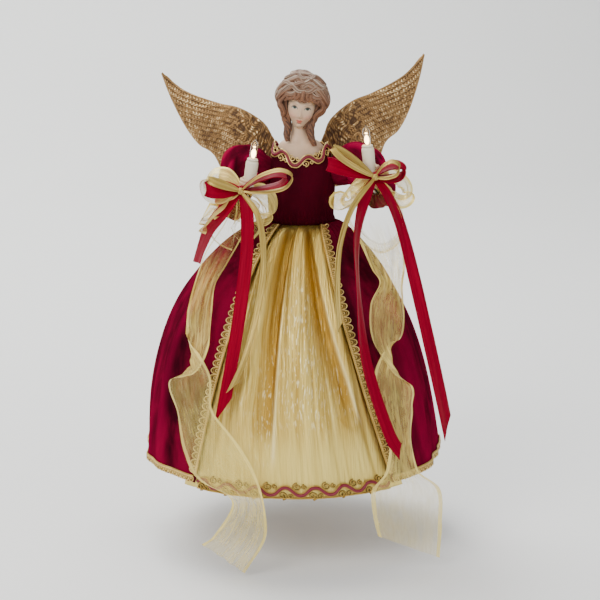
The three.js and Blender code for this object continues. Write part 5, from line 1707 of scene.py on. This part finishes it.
def add_loop(form, knot, reach, belly, side, half, width, columns=7, **more):
    knot, reach, belly = (np.array(v, float) for v in (knot, reach, belly))
    runs = [
        (0.03, 0.06, 0.35),
        (0.22, 0.55, 0.7),
        (0.5, 0.95, 0.95),
        (0.82, 0.88, 1),
        (1, 0, 1),
        (0.82, -0.88, 1),
        (0.5, -0.85, 0.95),
        (0.22, -0.45, 0.7),
        (0.03, -0.06, 0.35),
    ]
    places = [knot + reach * share + belly * spread for share, spread, _ in runs]
    halves = [half * size for _, _, size in runs]
    strip(form, places, halves, [side] * len(runs), width, 72, columns, **more)


def add_tail(form, knot, falls, half, width, cut, columns=7, **more):
    places, sides, halves = [np.array(knot, float)], [np.array([1.0, 0, 0])], [half * 0.4]
    for x, y, z, *turn in falls:
        out = unit(np.array([x - GOWN_MIDDLE, y, 0]))
        twist = math.radians(turn[0]) if turn else 0.0
        places.append(np.array([x, y, z], float))
        sides.append(math.cos(twist) * np.array([-out[1], out[0], 0]) + math.sin(twist) * out)
        halves.append(half)
    strip(form, places, halves, sides, width, 26 * len(falls), columns, cut=cut, **more)


def add_knot(form, centre, radius):
    """The wrapped middle of a bow, drawn in folds round a short roll."""
    wide = np.linspace(0, TAU, 41)[None, :-1]
    high = np.linspace(-math.pi / 2 + 0.04, math.pi / 2 - 0.04, 22)[:, None]
    fold = 1 + 0.07 * np.cos(9 * wide + 2 * np.sin(high * 3))
    ball = stacked(
        np.cos(high) * np.cos(wide) * radius * fold,
        np.cos(high) * np.sin(wide) * radius * 0.75 * fold,
        np.sin(high) * radius * 1.15,
    )
    form.add(ball + np.array(centre), capped_faces(*ball.shape[:2]), stacked(wide * 0.0016, high * 0.003))


def make_bows():
    for name, arm in ARMS.items():
        bow = BOWS[name]
        kinds = (
            ("satin", 3.2, look().satin_width * 1000, np.array(arm["knot"], float), 0.35),
            ("tinsel", 2.24, look().tinsel_width * 1000, np.array(arm["knot"], float) + (0, -4.43, 0), 0.3),
        )
        for kind, radius, width, knot, thickness in kinds:
            form = Form()
            for index, (reach, belly, side) in enumerate(bow[f"{kind}_loops"]):
                add_loop(form, knot, reach, belly, side, width / 2, width, cup=0.5, ripple=0.15, seed=index + 3)
            for index, falls in enumerate(bow[f"{kind}_tails"]):
                add_tail(form, knot, falls, width / 2, width, 0.07, cup=0.6, ripple=0.25, seed=index + 7)
            ribbon = form.build(f"{name}_{kind}_ribbon", [FINISHES[kind]])
            thicken(ribbon, thickness, 0.0)
            form = Form()
            add_knot(form, knot, radius)
            middle = form.build("knot", [FINISHES[kind]])
            face_outwards(middle)
            alone(ribbon)
            middle.select_set(True)
            bpy.ops.object.join()
            settle(ribbon, f"{name}_arm", kind, f"{name}_{kind}_bow")


def hung(places):
    """Places given by degrees round from the front, drop from the waist and lift off the gown."""
    angle, drop, lift = np.radians(places[..., 0]), places[..., 1], places[..., 2]
    share = np.sqrt(np.clip(drop / (WAIST + HEM_BELOW), 0, 1))
    radius = bell(share)[0] + lift
    depth = lerp(WAIST_HALF_DEPTH / WAIST_HALF_WIDTH, 1, smooth(share, 0, 0.6))
    return np.stack(
        [radius * np.sin(angle) + gown_lean(share), -radius * depth * np.cos(angle), WAIST - drop], axis=-1
    )


def make_streamers():
    width = look().sheer_width * 1000
    for name, arm in ARMS.items():
        knot = np.array(arm["knot"], float)
        upper, lower = (np.array(rows, float) for rows in STREAMERS[name])
        edges = np.concatenate([knot + upper, hung(lower)])
        t = np.linspace(0, 1, STREAMER_ROWS)
        across = np.linspace(-1, 1, STREAMER_COLUMNS)[None, :]
        first, second = spline(edges[:, 0], t)[:, None], spline(edges[:, 1], t)[:, None]
        spot = first + (second - first) * ((across + 1) / 2)[..., None]
        along = np.gradient(spot[:, STREAMER_COLUMNS // 2], axis=0)
        out = unit(np.cross(along, (second - first)[:, 0]))[:, None]
        open_out = np.linalg.norm(second - first, axis=2) / width
        gathered = 1 - smooth(open_out, 0.3, 1.0)
        down = t[:, None]
        pleats = (0.45 + 0.9 * gathered) * np.sin(across * 11 + 1.5 * np.sin(down * 25) + 2 * down)
        crimp = 0.9 * soft_noise(across * 1.6 + 4, down * 16, 31) + 0.35 * soft_noise(across * 5, down * 40, 32)
        spot = spot + out * ((pleats + crimp) * smooth(down, 0.0, 0.05))[..., None]
        thread = (0.25 + 0.25 * gathered) * (0.1 + 0.9 * smooth(down, 0.12, 0.24))
        form = Form()
        form.grid(spot, ribbon_uvs(spot, across, width), cover=thread)
        for index, (reach, belly, direction, size, cover) in enumerate(PUFFS[name]):
            start = knot + np.array([0, 3.4, -1.0])
            add_loop(
                form, start, reach, belly, direction, size, width, 25, cup=1.5, ripple=1.6, seed=index + 15, cover=cover
            )
        streamer = form.build(f"{name}_sheer_ribbon", [FINISHES["sheer"]])
        settle(streamer, f"{name}_arm", "sheer", f"{name}_streamer")


def declare_sheets():
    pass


# What stays inside

# Sizes in metres
CONE_MOUTH_RADIUS = 0.088
CONE_TOP_RADIUS = 0.0165
CONE_HEIGHT = 0.164
WING_CARD_SIZE = (0.034, 0.0012, 0.042)
WING_CARD_PLACE = (0, 0.01995, 0.212)
WING_CARD_CORNER = 0.005


def make_inside():
    bpy.ops.mesh.primitive_cone_add(
        vertices=128,
        radius1=CONE_MOUTH_RADIUS,
        radius2=CONE_TOP_RADIUS,
        depth=CONE_HEIGHT,
        end_fill_type="NOTHING",
        location=(0, 0, CONE_HEIGHT / 2),
    )
    cone = bpy.context.object
    cone.name = "card_cone"
    bpy.ops.object.transform_apply(location=True)
    thicken(cone, 1.5)
    finish_rigid(cone, [FINISHES["card"]], 30)
    settle(cone, "figure", "card", "body_cone")
    bpy.ops.mesh.primitive_cube_add(size=1.0, location=WING_CARD_PLACE)
    plate = bpy.context.object
    plate.name = "wing_card"
    plate.scale = WING_CARD_SIZE
    bpy.ops.object.transform_apply(location=True, scale=True)
    bpy.ops.object.mode_set(mode="EDIT")
    bpy.ops.mesh.select_all(action="DESELECT")
    work = bmesh.from_edit_mesh(plate.data)
    for edge in work.edges:
        line = edge.verts[1].co - edge.verts[0].co
        edge.select = abs(line.y) > 0.0005 and abs(line.x) < 1e-6 and abs(line.z) < 1e-6
    bmesh.update_edit_mesh(plate.data)
    bpy.ops.mesh.bevel(offset=WING_CARD_CORNER, segments=8, affect="EDGES")
    bpy.ops.object.mode_set(mode="OBJECT")
    rounded(plate, 0.2, 2)
    finish_rigid(plate, [FINISHES["card"]], 30)
    settle(plate, "figure", "card", "wing_plate")
    kept = {
        "torso_former": "foam",
        "neck_dowel": "wood",
        "arm_crossbar": "wire",
        "lamp_harness": "lead",
        "harness_clip": "white_plastic",
        "right_arm_wire": "wire",
        "left_arm_wire": "wire",
        "right_lamp_lead": "lead",
        "left_lamp_lead": "lead",
    }
    for node, finish in kept.items():
        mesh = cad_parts[node].data
        mesh.materials.clear()
        mesh.materials.append(FINISHES[finish])


# Stage


def make_stage():
    stage = look()
    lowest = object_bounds()[0][2]
    ground = lowest - stage.floor_gap
    form = Form()
    bend = np.linspace(0, math.pi / 2, 17)
    run = np.concatenate([[-4000.0], 1800 + 900 * np.sin(bend), [2700.0]])
    climb = np.concatenate([[0.0], 900 - 900 * np.cos(bend), [4000.0]]) + ground * 1000
    across = np.linspace(-4000, 4000, 3)
    form.grid(stacked(across[None, :], run[:, None], climb[:, None]))
    floor = form.build("Floor", [FINISHES["floor"]])
    floor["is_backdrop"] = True

    def softbox(name, place, aim, size, power, colour):
        lamp = bpy.data.lights.new(name, "AREA")
        lamp.shape = "RECTANGLE"
        lamp.size, lamp.size_y = size
        lamp.energy = power
        lamp.color = colour
        made = bpy.data.objects.new(name, lamp)
        made.location = place
        made.rotation_euler = (Vector(aim) - Vector(place)).to_track_quat("-Z", "Y").to_euler()
        bpy.context.scene.collection.objects.link(made)
        made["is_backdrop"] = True

    softbox("Key", (-0.75, -1.25, 1.15), (0, 0, 0.13), (0.8, 0.8), stage.key_power, (1.0, 0.97, 0.93))
    softbox("Fill", (1.1, -1.1, 0.6), (0, 0, 0.12), (0.9, 1.1), stage.key_power * 0.3, (0.96, 0.98, 1.0))
    softbox("Top", (0.1, 0.5, 1.5), (0, 0, 0.15), (1.2, 0.8), stage.key_power * 0.4, (1.0, 1.0, 1.0))
    softbox("Sweep", (-1.0, 1.4, 2.2), (-0.7, 1.5, 0), (2.4, 1.4), stage.key_power * 3.8, (0.99, 1.0, 0.98))
    world = bpy.context.scene.world or bpy.data.worlds.new("Studio")
    bpy.context.scene.world = world
    world.use_nodes = True
    back = next(node for node in world.node_tree.nodes if node.type == "BACKGROUND")
    back.inputs[0].default_value = (0.9, 0.92, 0.94, 1)
    back.inputs[1].default_value = 0.55
    camera = bpy.data.cameras.new("Camera")
    camera.lens = stage.lens
    camera.sensor_width = 36.0
    camera.dof.use_dof = False
    made = bpy.data.objects.new("Camera", camera)
    aim = Vector((stage.aim_across, 0, 0.115))
    tilt = stage.camera_tilt
    made.location = aim + stage.camera_distance * Vector((0, -math.cos(tilt), math.sin(tilt)))
    made.rotation_euler = (aim - made.location).to_track_quat("-Z", "Y").to_euler()
    bpy.context.scene.collection.objects.link(made)
    bpy.context.scene.camera = made
    made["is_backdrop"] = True


# Settings, operators and panel


class TopperSettings(bpy.types.PropertyGroup):
    """Sizes that set how the topper looks."""

    fold_depth: bpy.props.FloatProperty(
        name="Skirt folds", description="Depth of the overskirt's broad folds", default=0.0032, unit="LENGTH"
    )
    gather_depth: bpy.props.FloatProperty(
        name="Waist gathers", description="Depth of the gathers at the waist", default=0.0008, unit="LENGTH"
    )
    crinkle_depth: bpy.props.FloatProperty(
        name="Panel crinkle", description="Depth of the front panel's fine pleats", default=0.0015, unit="LENGTH"
    )
    sleeve_folds: bpy.props.FloatProperty(
        name="Sleeve folds", description="Depth of the folds in the puffed sleeves", default=0.001, unit="LENGTH"
    )
    wing_relief: bpy.props.FloatProperty(
        name="Feather relief", description="How far the feathers stand out of the foil", default=0.001, unit="LENGTH"
    )
    satin_width: bpy.props.FloatProperty(
        name="Satin ribbon", description="Width of the wine satin ribbon", default=0.01, unit="LENGTH"
    )
    tinsel_width: bpy.props.FloatProperty(
        name="Gold ribbon", description="Width of the narrow gold ribbon", default=0.0045, unit="LENGTH"
    )
    sheer_width: bpy.props.FloatProperty(
        name="Sheer ribbon", description="Width of the sheer gold ribbon", default=0.05, unit="LENGTH"
    )
    floor_gap: bpy.props.FloatProperty(
        name="Floor gap", description="From the lowest streamer down to the floor", default=0.003, unit="LENGTH"
    )
    key_power: bpy.props.FloatProperty(name="Key light", description="Power of the main soft light", default=21.0)
    camera_distance: bpy.props.FloatProperty(
        name="Camera distance", description="From the camera to the topper", default=1.4, unit="LENGTH"
    )
    camera_tilt: bpy.props.FloatProperty(
        name="Camera tilt", description="How far the camera looks down", default=math.radians(12), subtype="ANGLE"
    )
    aim_across: bpy.props.FloatProperty(
        name="Camera aim", description="Sideways place that the camera looks at", default=-0.0008, unit="LENGTH"
    )
    lens: bpy.props.FloatProperty(name="Lens", description="Focal length in millimetres", default=109.1)


def operator(name, label, words, work):
    """An operator that makes one piece or one group of like pieces."""

    def execute(self, context):
        work()
        return {"FINISHED"}

    body = {
        "bl_idname": f"topper.{name}",
        "bl_label": label,
        "bl_options": {"REGISTER", "UNDO"},
        "__doc__": words,
        "execute": execute,
    }
    return type(f"TOPPER_OT_{name}", (bpy.types.Operator,), body)


OPERATORS = [
    operator("finishes", "Finishes", "Mix the finishes of every piece", make_finishes),
    operator("inside", "Inside", "Roll the card cone and finish what stays inside", make_inside),
    operator("gown", "Gown", "Sew the lining, front panel and overskirt", make_gown),
    operator("bodice", "Bodice", "Sew the bodice", make_bodice),
    operator("braids", "Braids", "Sew the braids and cords on", make_braids),
    operator("head", "Head", "Cast and paint the head and bust", make_head),
    operator("hair", "Hair", "Mould the hair lock by lock", make_hair),
    operator("wings", "Wings", "Emboss the foil wings", make_wings),
    operator("sleeves", "Sleeves", "Sew the puffed sleeves", make_sleeves),
    operator("hands", "Hands", "Cast the hands", make_hands),
    operator("lamps", "Lamps", "Turn the lamp holders, bases and bulbs", make_lamps),
    operator("bows", "Bows", "Tie the satin and gold bows", make_bows),
    operator("streamers", "Streamers", "Hang the sheer streamers", make_streamers),
    operator("sheets", "Sheets", "Note the size that each cloth was cut to", declare_sheets),
    operator("stage", "Stage", "Set the floor, lights and camera", make_stage),
]


class TOPPER_PT_sidebar(bpy.types.Panel):
    bl_label = "Angel tree topper"
    bl_space_type = "VIEW_3D"
    bl_region_type = "UI"
    bl_category = "Topper"

    def draw(self, context):
        for name in TopperSettings.__annotations__:
            self.layout.prop(context.scene.topper, name)
        for made in OPERATORS:
            self.layout.operator(made.bl_idname)


CLASSES = [TopperSettings, *OPERATORS, TOPPER_PT_sidebar]


def register():
    for made in CLASSES:
        bpy.utils.register_class(made)
    bpy.types.Scene.topper = bpy.props.PointerProperty(type=TopperSettings)


def unregister():
    del bpy.types.Scene.topper
    for made in reversed(CLASSES):
        bpy.utils.unregister_class(made)


def main():
    register()
    bpy.ops.object.select_all(action="DESELECT")
    for made in OPERATORS:
        getattr(bpy.ops.topper, made.bl_idname.split(".")[1])()
    {"cad": STARTING_BOX, "scene": [list(corner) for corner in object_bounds()]}


if __name__ == "__main__":
    main()
